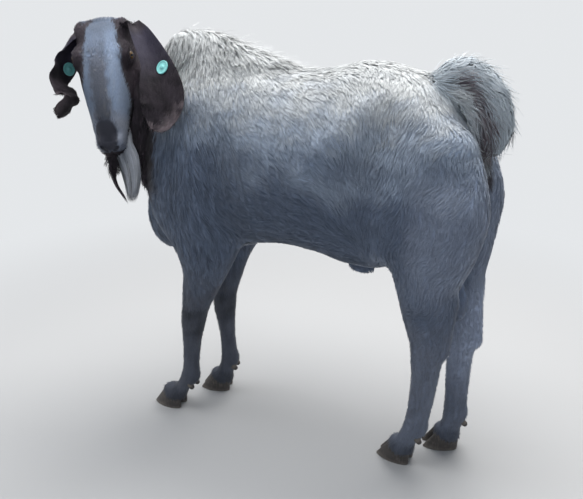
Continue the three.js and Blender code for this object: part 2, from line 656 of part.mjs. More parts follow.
/** Adds a solid to the goat under a name, as a mesh of its own. */
function add(name, solid) {
  const mesh = solid.getMesh();
  const geometry = new THREE.BufferGeometry();
  geometry.setAttribute('position', new THREE.Float32BufferAttribute(mesh.vertProperties, 3));
  geometry.setIndex(new THREE.Uint32BufferAttribute(mesh.triVerts, 1));
  geometry.translate(-ORIGIN[0], -ORIGIN[1], 0);
  geometry.computeVertexNormals();
  const look = LOOKS[name.split('_')[0]];
  const finish = new THREE.MeshStandardMaterial({ ...look, metalness: 0, flatShading: true });
  const made = new THREE.Mesh(geometry, finish);
  made.name = name;
  group.add(made);
}

const body = bodyForm();
const sides = { left: 1, right: -1 };

// Trunk and neck.
let trunk = before(before(body, NECK_CUT, STEP.trunk), LEG_CUT, STEP.trunk);
trunk = solidOf(trunk, [-420, -230, 340], [460, 230, 960], STEP.trunk);
trunk = trimBefore(trimBefore(trunk, NECK_CUT), LEG_CUT);
const neckForm = before(beyond(body, NECK_CUT, STEP.neck), HEAD_CUT, STEP.neck);
let neck = solidOf(neckForm, [-520, -200, 500], [-120, 180, 960], STEP.neck);
neck = trimBefore(trimBeyond(neck, NECK_CUT), HEAD_CUT);

// Head, with a socket for each eye.
let head = solidOf(beyond(body, HEAD_CUT, STEP.head), [-540, -320, 600], [-270, 20, 960], STEP.head);
head = trimBeyond(head, HEAD_CUT);
for (const [side, sign] of Object.entries(sides)) {
  const at = onHead(EYE.at[0], sign * EYE.at[1], EYE.at[2]);
  head = head.subtract(ball(at, EYE.radius + GAP));
  add(`eye_${side}`, ball(at, EYE.radius));
}
const aroundHead = grown(head, GAP);

// Ears with their tags.
const ears = Object.fromEntries(Object.entries(EARS).map(([name, form]) => {
  const ear = largest(earSolid(form).subtract(aroundHead).subtract(tagSolid(form, GAP)));
  return [name, ear];
}));

// Legs and feet.
const legs = {};
for (const [name, { rows, foot }] of Object.entries(LEGS)) {
  const outward = name.endsWith('left') ? -1 : 1;
  const low = rows.filter((r) => r[0] < LEG_REACH);
  const [west, south] = [1, 2].map((c) => Math.min(...low.map((r) => r[c] - r[c + 2])) - 24);
  const [east, north] = [1, 2].map((c) => Math.max(...low.map((r) => r[c] + r[c + 2])) + 30);
  const own = (x, y, z) => Math.max(body(x, y, z), -outward * y - SCOOP);
  let solid = solidOf(beyond(own, LEG_CUT, STEP.leg), [west, south, 8], [east, north, 470], STEP.leg);
  solid = trimBeyond(trimBeyond(solid, LEG_CUT), coronet(foot));
  const around = grown(solid, GAP);
  for (const [side, sign] of [['outer', outward], ['inner', -outward]]) {
    add(`hoof_${name}_${side}`, trimBefore(claw(foot, sign), coronet(foot)));
    add(`dewclaw_${name}_${side}`, largest(dewclaw(rows, foot, sign).subtract(around)));
  }
  legs[name] = solid;
}

// Tail, beard, scrotum and sheath, each ending a little short of the body.
const clearOfBody = (form) => (x, y, z) => -blend(-form(x, y, z), body(x, y, z) - HAIR_GAP, HAIR_ROUND);
const tail = hull(TAIL, STEP.tail, clearOfBody);
const scrotum = hull(SCROTUM, STEP.scrotum, clearOfBody);
const beard = hull(BEARD, STEP.beard, clearOfBody);
const sheath = eggSolid(SHEATH, STEP.sheath, clearOfBody);
const tags = Object.fromEntries(
  Object.entries(EARS).map(([name, form]) => [name.replace('ear', 'tag'), tagSolid(form)]),
);

const solids = { trunk, neck, head, tail, beard, scrotum, sheath, ...ears, ...tags, ...legs };
for (const [name, solid] of Object.entries(solids)) add(name in LEGS ? `leg_${name}` : name, solid);

export default group;
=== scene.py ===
"""A billy goat of the Boer kind, life size: one skin, a coat of mesh tufts, hooves, eyes and ear tags.

Every size of the body is in millimetres in the goat's working axes: +Z up, the goat faces -X, its left is -Y.
place() turns them into the frame's metres.
"""

from __future__ import annotations

import logging
import math
from dataclasses import astuple, dataclass, field
from enum import Enum
from typing import Callable, Iterator, Sequence

import bmesh
import bpy
import numpy as np
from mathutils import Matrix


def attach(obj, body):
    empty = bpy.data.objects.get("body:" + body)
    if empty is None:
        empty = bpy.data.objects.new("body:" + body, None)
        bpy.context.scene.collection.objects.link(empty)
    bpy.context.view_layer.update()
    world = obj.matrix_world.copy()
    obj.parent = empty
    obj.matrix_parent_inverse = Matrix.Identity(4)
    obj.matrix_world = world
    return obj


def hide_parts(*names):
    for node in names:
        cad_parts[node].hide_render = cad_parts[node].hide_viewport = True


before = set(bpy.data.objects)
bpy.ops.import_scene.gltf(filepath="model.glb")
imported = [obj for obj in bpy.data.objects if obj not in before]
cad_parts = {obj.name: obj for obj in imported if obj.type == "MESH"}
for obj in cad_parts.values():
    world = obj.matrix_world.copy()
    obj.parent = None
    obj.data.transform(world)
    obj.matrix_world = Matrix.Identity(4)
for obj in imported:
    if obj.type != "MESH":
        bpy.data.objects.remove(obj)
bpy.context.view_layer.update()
LOG = logging.getLogger("goat")
Array = np.ndarray
Pair = tuple[Array, Array]
Triple = tuple[float, float, float]
Material, Object, Socket = bpy.types.Material, bpy.types.Object, bpy.types.NodeSocket

ORIGIN = np.array([-38.0, -21.0, 0.0])     # the frame's origin, in the working axes
FAR = 200.0                                # a distance that counts as nowhere near
SEED = 4107


# ---- numbers
def place(p: Array) -> Array:
    """Turns points in working millimetres into the frame's metres: less the origin, over a thousand."""
    return (np.asarray(p, float) - ORIGIN) / 1000


def working(p: Array) -> Array:
    """Turns points in the frame's metres into working millimetres."""
    return np.asarray(p, float) * 1000 + ORIGIN


def unit(v: Array) -> Array:
    """Each vector over its own length."""
    return v / (np.linalg.norm(v, axis=-1, keepdims=True) + 1e-12)


def ease(x: Array, low: float, high: float) -> Array:
    """A smooth step from 0 at low to 1 at high: t squared times three less twice t."""
    t = np.clip((np.asarray(x, float) - low) / (high - low), 0, 1)
    return t * t * (3 - 2 * t)


def span(x: Array, start: float, full: float, ends: float, over: float) -> Array:
    """A share that rises smoothly from start to full and falls again from ends to over."""
    return ease(x, start, full) * ease(x, over, ends)


def bump(x: Array, middle: float, width: float) -> Array:
    """A bell curve of height 1 about middle: e to the minus half the squared share of width."""
    return np.exp(-0.5 * ((x - middle) / width) ** 2)


def ripple(p: Array, scale: Sequence[float] | float, seed: int, waves: int = 9) -> Array:
    """A smooth random field from about -1 to 1: a sum of sine waves in random directions.

    Args:
        p: points, N by 3.
        scale: the length of its ripples, one number or one for each axis.
        seed: which random field.
        waves: how many sine waves are added.
    """
    rng = np.random.default_rng(SEED + seed)
    way = unit(rng.normal(size=(waves, 3))) * rng.uniform(0.6, 1.5, (waves, 1))
    turns = (p / np.asarray(scale, float)) @ way.T * 2 * math.pi + rng.uniform(0, 2 * math.pi, waves)
    return np.sin(turns).sum(1) / math.sqrt(waves) * 0.8


def course(rows: Array, s: Array) -> Array:
    """Smooth curves through the rows of a table, held flat beyond its ends.

    The first column is the station. Between two rows each value follows a cubic whose slopes at the rows are
    the weighted mean of the rises on either side.
    """
    step = np.diff(rows[:, 0])
    rise = np.diff(rows, axis=0) / step[:, None]
    inner = (rise[:-1] * step[1:, None] + rise[1:] * step[:-1, None]) / (step[1:] + step[:-1])[:, None]
    slope = np.vstack([rise[:1], inner, rise[-1:]])
    x = np.clip(s, rows[0, 0], rows[-1, 0])
    i = np.clip(np.searchsorted(rows[:, 0], x, "right") - 1, 0, len(step) - 1)
    t = ((x - rows[i, 0]) / step[i])[..., None]
    p, q = t * t * (3 - 2 * t), t * (1 - t)
    curve = step[i][..., None] * q * ((1 - t) * slope[i] - t * slope[i + 1])
    return rows[i] * (1 - p) + rows[i + 1] * p + curve


def blend(a: Array, b: Array, k: float) -> Array:
    """The lesser of two distances, rounded over where they are within k of each other."""
    if k <= 0:
        return np.minimum(a, b)
    h = np.clip(0.5 + 0.5 * (b - a) / k, 0, 1)
    return b + (a - b) * h - k * h * (1 - h)


def oval(*parts: tuple[Array, Array | float]) -> Array:
    """How far points are outside an oval: the share of the way out, less 1, over its own rate of change.

    Args:
        parts: for each of its ways, the offsets from its middle and its half size.
    """
    out = np.sqrt(sum((x / half) ** 2 for x, half in parts))
    rate = np.sqrt(sum((x / half**2) ** 2 for x, half in parts))
    return out * (out - 1) / (rate + 1e-9)


def numbered(rows: Sequence[Sequence[float]]) -> Array:
    """A table of sizes whose first column counts its rows."""
    return np.column_stack([np.arange(len(rows)), np.array(rows, float)])


def heading(rows: Array, s: Array, step: float) -> Array:
    """The way in which the line of places in a numbered table runs at each station."""
    ahead, behind = (course(rows, (s + gap).clip(0, len(rows) - 1)) for gap in (step, -step))
    return unit((ahead - behind)[..., 1:4])


def circle(count: int) -> Array:
    """Angles evenly round a circle, in radians."""
    return np.linspace(0, 2 * math.pi, count, endpoint=False)


def turn(a: Array, b: Array) -> Array:
    """The angle of a over b, as a share of a full turn."""
    return np.arctan2(a, b) / (2 * math.pi) + 0.5


def share_along(q: Array, way: Array) -> Array:
    """The share of a straight way, from its start, at which it comes nearest to each place seen from there."""
    return (q @ way / (way @ way)).clip(0, 1)


def beyond(rows: Array, s: Array, caps: tuple[float, float]) -> Pair:
    """How far stations lie past a table's ends, and the length over which the nearer end rounds off."""
    before, after = rows[0, 0] - s, s - rows[-1, 0]
    return np.maximum(np.maximum(before, after), 0), np.where(before > after, *caps)


# ---- the coat's kinds
class Region(Enum):
    """The stretches of coat that are made as pieces of their own."""

    TRUNK = "trunk"
    NECK = "neck"
    HEAD = "head"
    EARS = "ears"
    LEGS = "legs"
    TAIL = "tail"


DARK_REGIONS = (Region.HEAD, Region.EARS)


@dataclass(frozen=True)
class Coat:
    """How the hair grows on one form, in millimetres.

    Attributes:
        depth: from the skin out to the tips.
        length: of a tuft.
        width: of a tuft at its widest.
        spacing: from one root to the next.
        clump: the size of the locks that tufts gather into.
        pull: the share of the way that a tip is drawn to its lock.
        stray: how far a tuft's lie may turn, in degrees.
    """

    depth: float
    length: float
    width: float
    spacing: float
    clump: float = 14
    pull: float = 0.35
    stray: float = 9

    def row(self) -> Array:
        """The numbers as a row, to be mixed with other forms' rows."""
        return np.array(astuple(self), float)


BODY_COAT = Coat(3.8, 27, 3.0, 4.02, 34, 0.2, 8)
CREST_COAT = Coat(11, 54, 3.3, 4.3, 28, 0.26, 14)
NECK_COAT = Coat(7, 52, 3.1, 4.3, 30, 0.34, 9)
CHEST_COAT = Coat(6.5, 36, 3.1, 4.4, 28, 0.3, 11)
THIGH_COAT = Coat(3.4, 22, 2.8, 4.3, 30, 0.22, 9)
SHANK_COAT = Coat(2.2, 9.5, 2.4, 4.6, 12, 0.15, 9)
FACE_COAT = Coat(1.5, 8.5, 1.7, 2.8, 8, 0.12, 7)
CHIN_COAT = Coat(9, 17, 1.6, 2.5, 9, 0.4, 18)
TAIL_COAT = Coat(9, 44, 2.8, 3.5, 22, 0.24, 18)
FRINGE_COAT = Coat(14, 48, 2.8, 3.5, 22, 0.35, 14)
BARE_COAT = Coat(1.8, 6.5, 1.9, 4.2, 8, 0.15, 9)
EAR_COAT = Coat(0.8, 9.5, 1.8, 3.1, 10, 0.1, 6)


# ---- forms of the body
@dataclass
class Form:
    """One rounded form of the body: how far points are from its surface, and how its hair lies.

    Attributes:
        name: what it is.
        coat: the hair on it.
        soft: how far from it a neighbour is rounded into it.
        region: the piece of coat that its hair belongs to.
        way: the way its hair lies, in the working axes.
    """

    name: str
    coat: Coat
    soft: float
    region: Region
    way: Triple = (1.0, 0.0, -0.25)

    def distance(self, p: Array) -> Array:
        """How far each point is outside the form."""
        raise NotImplementedError

    def around(self, p: Array) -> Array:
        """Where each point lies round the form and up it, from 0 to 1, in the form's box."""
        low, high = self.reach()
        q = (p - (low + high) / 2) / (high - low)
        return np.stack([turn(q[:, 1], q[:, 0]), q[:, 2] + 0.5], 1).clip(0, 1)

    def reach(self) -> Pair:
        """The corners of a box that holds the form."""
        raise NotImplementedError

    def depth(self, p: Array) -> Array:
        """The depth of the coat over each point."""
        return np.full(len(p), self.coat.depth)

    def lie(self, p: Array) -> Array:
        """The way that the hair lies at each point, not yet laid flat on the skin."""
        return np.broadcast_to(np.array(self.way), p.shape)


UPRIGHT = np.eye(3)


@dataclass
class Barrel(Form):
    """A barrel along the first of its axes.

    A section is a superellipse: the shares of its half width and half height, to a power, add up to 1.

    Attributes:
        rows: station, upper line, lower line, widest level and half width.
        caps: how far it rounds off before its first row and after its last.
    """

    rows: Array = field(kw_only=True)
    caps: tuple[float, float] = (20.0, 20.0)
    power: float = 2.2
    start: Array = field(default_factory=lambda: np.zeros(3))
    axes: Array = field(default_factory=lambda: UPRIGHT)

    def _local(self, p: Array) -> tuple[Array, Array, Array, Array]:
        """Station, place across, height over the widest level, and the row there."""
        s, across, level = ((p - self.start) @ self.axes.T).T
        row = course(self.rows, s)
        return s, across, level - row[:, 3], row

    def distance(self, p: Array) -> Array:
        """The share of the way out, less 1, over its own rate of change."""
        s, across, up, row = self._local(p)
        n = self.power
        tall = np.where(up > 0, row[:, 1] - row[:, 3], row[:, 3] - row[:, 2])
        past, cap = beyond(self.rows, s, self.caps)
        over = past / cap
        u, v = np.abs(across / row[:, 4]), np.abs(up / tall)
        out = np.sqrt((u**n + v**n) ** (2 / n) + over**2)
        rate = np.sqrt((u ** (n - 1) / row[:, 4]) ** 2 + (v ** (n - 1) / tall) ** 2 + (over / cap) ** 2)
        return (out - 1) * out / (rate * out ** (2 - n) + 1e-9)

    def around(self, p: Array) -> Array:
        """The turn about the barrel's middle line, and the share of its length."""
        s, across, up, _ = self._local(p)
        along = (s - self.rows[0, 0]) / np.ptp(self.rows[:, 0])
        return np.stack([turn(across, up), along.clip(0, 1)], 1)

    def reach(self) -> Pair:
        """The box round the eight corners of the barrel's own box."""
        r = self.rows
        low = [r[:, 0].min() - self.caps[0], -r[:, 4].max(), r[:, 2].min()]
        high = [r[:, 0].max() + self.caps[1], r[:, 4].max(), r[:, 1].max()]
        corners = np.array(np.meshgrid(*zip(low, high))).reshape(3, 8).T @ self.axes + self.start
        return corners.min(0), corners.max(0)


@dataclass
class Column(Form):
    """A column that follows a smooth line of oval sections.

    Attributes:
        rows: centre, half across, half above and half below.
        above: the way that counts as above.
        caps: how far it rounds off at its two ends.
    """

    rows: Array = field(kw_only=True)
    above: Triple = (0.0, 0.0, 1.0)
    caps: tuple[float, float] = (20.0, 20.0)
    parts: int = 4

    def __post_init__(self) -> None:
        """Works out the short straight links that the column is measured by."""
        count = (len(self.rows) - 1) * self.parts
        self.knots = course(numbered(self.rows), np.arange(count + 1) / self.parts)[:, 1:]
        self.step = np.diff(self.knots[:, :3], axis=0)
        self.along = unit(self.step)
        self.side = unit(np.cross(self.above, self.along))
        self.top = np.cross(self.along, self.side)

    def _nearest(self, p: Array) -> Pair:
        """For each point, the nearest link and the share of the way along it."""
        best, link, share = np.full(len(p), np.inf), np.zeros(len(p), int), np.zeros(len(p))
        for i, (a, d) in enumerate(zip(self.knots, self.step)):
            q = p - a[:3]
            t = share_along(q, d)
            far = ((q - t[:, None] * d) ** 2).sum(1)
            near = far < best
            best, link, share = np.where(near, far, best), np.where(near, i, link), np.where(near, t, share)
        return link, share

    def _local(self, p: Array) -> tuple[Array, Array, Array, Array, Array, Array]:
        """Offsets across, above and along from the nearest point of the line, and the half sizes there."""
        link, t = self._nearest(p)
        at = self.knots[link] * (1 - t[:, None]) + self.knots[link + 1] * t[:, None]
        v = p - at[:, :3]
        c, h, e = ((v * way[link]).sum(1) for way in (self.side, self.top, self.along))
        half = np.where(h > 0, at[:, 4], at[:, 5])
        return c, h, e, at[:, 3], half, (link + t) / len(self.step)

    def distance(self, p: Array) -> Array:
        """The distance from the oval section, rounded off past the ends."""
        c, h, e, wide, half, _ = self._local(p)
        return oval((c, wide), (h, half), (e, np.where(e < 0, *self.caps)))

    def around(self, p: Array) -> Array:
        """The turn about the line, and the share of its length."""
        c, h, _, _, _, along = self._local(p)
        return np.stack([turn(c, h), along], 1)

    def reach(self) -> Pair:
        """The box round the line, with its greatest half size on every side."""
        most = self.rows[:, 3:].max() + max(self.caps)
        return self.rows[:, :3].min(0) - most, self.rows[:, :3].max(0) + most

    def lie(self, p: Array) -> Array:
        """Along the line, towards its last row."""
        return self.along[self._nearest(p)[0]]


@dataclass
class Leg(Form):
    """A leg: oval sections stacked up its levels.

    Attributes:
        rows: level, centre fore and aft, centre across, half fore and aft, half across.
        caps: how far it rounds off below and above.
        shank: the levels between which the shank's short coat gives way to the form's own.
    """

    rows: Array = field(kw_only=True)
    caps: tuple[float, float] = (10.0, 60.0)
    shank: tuple[float, float] = (250.0, 520.0)

    def _local(self, p: Array) -> tuple[Array, Array, Array]:
        """Offsets from the middle of the section at each point's level, and that section."""
        row = course(self.rows, p[:, 2])
        return p[:, 0] - row[:, 1], p[:, 1] - row[:, 2], row

    def distance(self, p: Array) -> Array:
        """The distance from the oval section at each point's level, rounded off past the ends."""
        x, y, row = self._local(p)
        return oval((x, row[:, 3]), (y, row[:, 4]), beyond(self.rows, p[:, 2], self.caps))

    def around(self, p: Array) -> Array:
        """The turn about the leg, and the share of its height."""
        x, y, _ = self._local(p)
        up = (p[:, 2] - self.rows[0, 0]) / np.ptp(self.rows[:, 0])
        return np.stack([turn(y, x), up.clip(0, 1)], 1)

    def reach(self) -> Pair:
        """The box round all the sections."""
        r = self.rows
        low = np.array([(r[:, 1] - r[:, 3]).min(), (r[:, 2] - r[:, 4]).min(), r[0, 0] - self.caps[0]])
        high = np.array([(r[:, 1] + r[:, 3]).max(), (r[:, 2] + r[:, 4]).max(), r[-1, 0] + self.caps[1]])
        return low, high

    def depth(self, p: Array) -> Array:
        """Short hair below, the form's own depth above."""
        up = ease(p[:, 2], *self.shank)
        return SHANK_COAT.depth * (1 - up) + self.coat.depth * up


@dataclass
class Egg(Form):
    """An egg of three half sizes."""

    at: Array = field(kw_only=True)
    half: Array = field(kw_only=True)
    axes: Array = field(default_factory=lambda: UPRIGHT)

    def distance(self, p: Array) -> Array:
        """The distance from the oval of its three half sizes."""
        return oval(*zip(((p - self.at) @ self.axes.T).T, self.half))

    def reach(self) -> Pair:
        """The box of the ball that holds it."""
        return self.at - max(self.half), self.at + max(self.half)


@dataclass
class Rod(Form):
    """A round rod that tapers from its first end to its second."""

    ends: Array = field(kw_only=True)
    radii: tuple[float, float] = (12.0, 17.0)

    def distance(self, p: Array) -> Array:
        """The distance from the line, less the radius at the nearest point of it."""
        d = self.ends[1] - self.ends[0]
        q = p - self.ends[0]
        t = share_along(q, d)
        return np.linalg.norm(q - t[:, None] * d, axis=1) - (self.radii[0] + np.diff(self.radii)[0] * t)

    def reach(self) -> Pair:
        """The box round both ends."""
        return self.ends.min(0) - max(self.radii), self.ends.max(0) + max(self.radii)


# ---- the head's own axes
POLL = np.array([-393.0, -104.0, 904.0])


def head_axes(yaw: float, pitch: float, roll: float) -> Array:
    """The head's axes as rows: along from the poll to the nose, across to its left, and out of the brow."""
    g, d, r = np.radians([yaw, pitch, roll])
    front = np.array([-math.cos(g), -math.sin(g), 0])
    along = front * math.cos(d) - np.array([0, 0, math.sin(d)])
    out = front * math.sin(d) + np.array([0, 0, math.cos(d)])
    left = np.cross(out, along)
    return np.array([along * math.cos(r) + left * math.sin(r), left * math.cos(r) - along * math.sin(r), out])


HEAD_AXES = head_axes(114, 57, 6.2)


def on_head(at: Sequence[float] | Array) -> Array:
    """Turns places in the head's axes into the working axes."""
    return POLL + np.asarray(at, float) @ HEAD_AXES


def head_view(p: Array) -> tuple[Array, Array, Array]:
    """Each point's place along, across and out of the head."""
    s, across, out = ((p - POLL) @ HEAD_AXES.T).T
    return s, across, out


# ---- the goat's forms, with their coats
TRUNK = [
    [-332, 640, 455, 535, 66], [-292, 765, 438, 560, 102], [-235, 845, 430, 590, 130],
    [-160, 858, 444, 600, 143], [-80, 846, 468, 610, 150], [0, 832, 480, 625, 155], [70, 838, 474, 630, 156],
    [130, 852, 458, 640, 150], [200, 846, 462, 655, 142], [255, 826, 500, 668, 130],
    [305, 772, 560, 665, 112], [342, 704, 606, 655, 76]]
CREST = [
    [-304, 872, 690, 770, 50], [-280, 896, 690, 775, 62], [-240, 904, 690, 780, 72], [-185, 898, 690, 780, 74],
    [-130, 879, 690, 770, 72], [-80, 861, 690, 770, 64], [-40, 842, 700, 770, 54]]
NECK = [
    [-170, 4, 660, 135, 150, 165], [-250, 0, 705, 110, 125, 150], [-315, -8, 748, 80, 75, 120],
    [-362, -26, 790, 60, 48, 78], [-402, -52, 845, 52, 44, 56]]
LEGS = {
    "front_left": [
        [30, -316, -57, 29, 25], [62, -289, -58, 22, 20], [94, -266, -60, 26, 23], [124, -261, -60, 22, 20],
        [168, -256, -61, 22, 20], [220, -249, -62, 26, 23], [258, -243, -63, 31, 27], [293, -234, -65, 34, 28],
        [342, -216, -70, 43, 32], [396, -195, -77, 54, 38], [455, -186, -84, 76, 46], [540, -207, -88, 99, 52],
        [640, -205, -84, 100, 50], [740, -180, -70, 75, 45]],
    "front_right": [
        [30, -246, 55, 28, 25], [62, -232, 54, 22, 20], [94, -219, 54, 25, 23], [124, -220, 52, 22, 20],
        [168, -220, 48, 21, 19], [220, -219, 41, 25, 23], [256, -218, 37, 29, 26], [293, -214, 36, 30, 27],
        [342, -206, 41, 36, 31], [396, -198, 49, 46, 38], [455, -188, 62, 66, 46], [540, -202, 80, 96, 52],
        [640, -205, 84, 100, 50], [740, -180, 70, 75, 45]],
    "hind_left": [
        [30, 253, -15, 29, 25], [62, 268, -19, 24, 22], [96, 284, -24, 28, 25], [126, 288, -28, 26, 23],
        [182, 294, -36, 27, 24], [242, 299, -44, 29, 25], [286, 300, -50, 33, 27], [322, 301, -54, 37, 29],
        [362, 295, -58, 42, 34], [410, 291, -63, 51, 42], [460, 290, -68, 62, 52], [530, 291, -74, 87, 62],
        [620, 288, -72, 102, 66], [710, 268, -62, 92, 62]],
    "hind_right": [
        [30, 336, 72, 29, 25], [62, 345, 71, 24, 22], [96, 352, 70, 28, 25], [126, 350, 69, 26, 23],
        [182, 348, 68, 27, 24], [242, 347, 66, 29, 25], [286, 346, 64, 33, 27], [322, 338, 63, 37, 29],
        [362, 326, 62, 42, 34], [410, 318, 62, 54, 42], [460, 312, 66, 70, 52], [530, 298, 72, 92, 62],
        [620, 291, 72, 103, 66], [710, 268, 62, 92, 62]],
}
FEET = {"front_left": (-318, -57, 0), "front_right": (-248, 55, -14), "hind_left": (255, -14, 6),
        "hind_right": (337, 74, -20)}
HOCK_CORDS = [[[329, -55, 314], [335, -66, 430]], [[379, 64, 290], [362, 67, 420]]]
HEAD = [
    [-18, -14, -88, -48, 42], [0, 0, -108, -50, 50], [36, 13, -122, -50, 55], [72, 19, -122, -48, 55],
    [108, 18, -114, -48, 50], [143, 11, -104, -48, 43], [178, 0, -96, -50, 36], [208, -15, -90, -54, 32],
    [230, -32, -86, -60, 28]]
TAIL = [
    [258, 0, 806, 26, 22, 22], [286, 0, 832, 30, 24, 24], [318, 2, 834, 32, 26, 26], [345, 4, 812, 34, 27, 27],
    [366, 6, 778, 34, 26, 26], [375, 8, 738, 29, 21, 21], [374, 8, 706, 15, 11, 11]]
TAIL_FRINGE = [
    [290, 0, 800, 20, 20, 20], [320, 2, 788, 22, 22, 22], [342, 5, 756, 24, 24, 24], [352, 7, 712, 22, 21, 21],
    [350, 8, 676, 10, 11, 11]]
THROAT = [
    [-336, -74, 756, 22, 22, 22], [-341, -84, 716, 26, 24, 24], [-338, -92, 672, 27, 24, 24],
    [-328, -97, 630, 24, 20, 20], [-316, -100, 596, 14, 12, 12]]
BEARD = [
    [*on_head((184, 16, -84)), 15, 22, 16], [-338, -136, 676, 26, 19, 19], [-322, -142, 652, 27, 19, 19],
    [-306, -155, 622, 22, 16, 16], [-295, -170, 596, 15, 12, 12], [-290, -183, 574, 8, 7, 7]]
WISP = [
    [-352, -150, 646, 9, 8, 8], [-346, -164, 622, 6, 6, 6], [-330, -175, 602, 3.5, 4, 4],
    [-310, -182, 586, 2.5, 3, 3], [-296, -186, 570, 1.5, 2, 2]]
SCROTUM = [
    [306, 0, 490, 20, 24, 24], [318, 0, 446, 19, 28, 28], [328, 1, 402, 21, 33, 33], [332, 2, 374, 20, 26, 26]]


def foot_ways(yaw: float) -> Pair:
    """The ways back and across of a foot turned by that many degrees."""
    c, s = math.cos(math.radians(yaw)), math.sin(math.radians(yaw))
    return np.array([c, -s, 0.0]), np.array([s, c, 0.0])


def table(rows: Sequence[Sequence[float]]) -> Array:
    """A table of sizes as an array."""
    return np.array(rows, float)


@dataclass
class Trunk(Barrel):
    """The trunk: its hair runs back and down, and ever more down towards the rump and under the chest."""

    def lie(self, p: Array) -> Array:
        """Back along the ribs, outward over the back, down on the rump."""
        rear, front = ease(p[:, 0], 40, 260), ease(-p[:, 0], 120, 290)
        return np.stack([1 - 1.05 * rear - 0.85 * front, 0.007 * p[:, 1], -0.42 - 0.5 * (rear + front)], 1)


@dataclass
class Crest(Barrel):
    """The crest: its hair parts along the top and falls back and to both sides."""

    def lie(self, p: Array) -> Array:
        """Away from the middle line and back."""
        side = np.tanh((p[:, 1] + 8 * np.sin(p[:, 0] / 23)) / 22)
        return np.stack([0.42 + 0 * side, 0.95 * side, -0.75 + 0.35 * (1 - np.abs(side))], 1)


@dataclass
class Neck(Column):
    """The neck: its long hair hangs."""

    def lie(self, p: Array) -> Array:
        """Down, a little forward near the throat and a little back at the shoulder."""
        forth = 0.25 * np.tanh((p[:, 0] + 262) / 50) - 0.06
        return np.stack([forth, 0 * forth, 0 * forth - 1], 1)


DOWN = (0.1, 0.0, -1.0)
# name, coat, how far it is rounded in, place on the head and half sizes
HEAD_FORMS = [
    ("orbit", FACE_COAT, 14, (58, 44, -15), (26, 17, 19)),
    ("cheek", FACE_COAT, 18, (88, 32, -74), (46, 20, 36)),
    ("ear base", FACE_COAT, 22, (-2, 42, -24), (23, 16, 18)),
    ("nostril wing", FACE_COAT, 10, (228, 16, -38), (15, 11, 12)),
    ("chin", FACE_COAT, 12, (212, 0, -90), (28, 22, 15)),
    ("chin tuft", CHIN_COAT, 14, (248, -8, -87), (36, 21, 14))]
CORONET = (30.5, 29.5, 17.0)
CORONET_LEVEL, CORONET_TILT = 37.0, 18.0


def coronet(x: float, y: float, yaw: float) -> Egg:
    """The coronet of the foot at a place on the floor, turned by its yaw and tilted back."""
    tilt = math.radians(CORONET_TILT)
    ahead, across = foot_ways(yaw)
    back = ahead * math.cos(tilt) - np.array([0, 0, math.sin(tilt)])
    return Egg("coronet", SHANK_COAT, 12, Region.LEGS, DOWN, at=np.array([x, y, CORONET_LEVEL]),
               half=np.array(CORONET), axes=np.array([back, across, np.cross(back, across)]))


def head_forms() -> list[Form]:
    """The head's barrel, and the eggs that stand out of it: those beside its middle line come in pairs."""
    back = tuple(-HEAD_AXES[0])
    hanging = tuple(HEAD_AXES[0] * 0.5 - [0, 0, 0.8])
    forms: list[Form] = [Barrel("head", FACE_COAT, 22, Region.HEAD, back, rows=table(HEAD), caps=(22, 18),
                                start=POLL, axes=HEAD_AXES)]
    for name, coat, soft, (s, across, out), half in HEAD_FORMS:
        way = hanging if name.startswith("chin") else back
        forms += [Egg(name, coat, soft, Region.HEAD, way, at=on_head((s, side * across, out)),
                      half=np.array(half, float), axes=HEAD_AXES)
                  for side in ((1,) if name.startswith("chin") else (-1, 1))]
    return forms


def body_forms() -> list[Form]:
    """Every form of the body, in the order in which they are rounded into each other."""
    legs = [Leg(name, THIGH_COAT, 30, Region.LEGS, (-0.35 if name.startswith("hind") else 0.05, 0.0, -1.0),
                rows=table(rows)) for name, rows in LEGS.items()]
    return [
        Trunk("trunk", BODY_COAT, 0, Region.TRUNK, rows=table(TRUNK), caps=(26, 22)),
        Crest("crest", CREST_COAT, 26, Region.NECK, rows=table(CREST), caps=(20, 40), power=2),
        Neck("neck", NECK_COAT, 45, Region.NECK, rows=table(NECK), caps=(60, 30)),
        *legs,
        *(coronet(*foot) for foot in FEET.values()),
        Egg("brisket", CHEST_COAT, 30, Region.NECK, DOWN,
            at=np.array([-308.0, -8, 486]), half=np.array([56.0, 66, 72])),
        *(Rod("hock cord", SHANK_COAT, 22, Region.LEGS, DOWN, ends=table(ends)) for ends in HOCK_CORDS),
        *head_forms(),
        *(Column(name, coat, soft, region, rows=table(rows), above=above, caps=caps)
          for name, coat, soft, region, rows, above, caps in (
              ("throat fringe", FRINGE_COAT, 26, Region.NECK, THROAT, (1, 0, 0), (20, 16)),
              ("tail", TAIL_COAT, 14, Region.TAIL, TAIL, (0, 1, 0), (20, 16)),
              ("tail fringe", TAIL_COAT, 16, Region.TAIL, TAIL_FRINGE, (0, 1, 0), (16, 16)),
              ("scrotum", BARE_COAT, 12, Region.LEGS, SCROTUM, (1, 0, 0), (14, 16)))),
        Egg("sheath", BARE_COAT, 14, Region.TRUNK, (0.3, 0.0, -1.0),
            at=np.array([141.0, -6, 449]), half=np.array([30.0, 14, 20])),
    ]


def ridge(p: Array, a: Sequence[float], b: Sequence[float], width: float) -> Array:
    """A bell about the straight line between two places seen from the side, as wide as its width."""
    way = np.subtract(b, a).astype(float)
    q = p[:, [0, 2]] - np.array(a, float)
    return bump(np.linalg.norm(q - share_along(q, way)[:, None] * way, axis=1), 0, width)


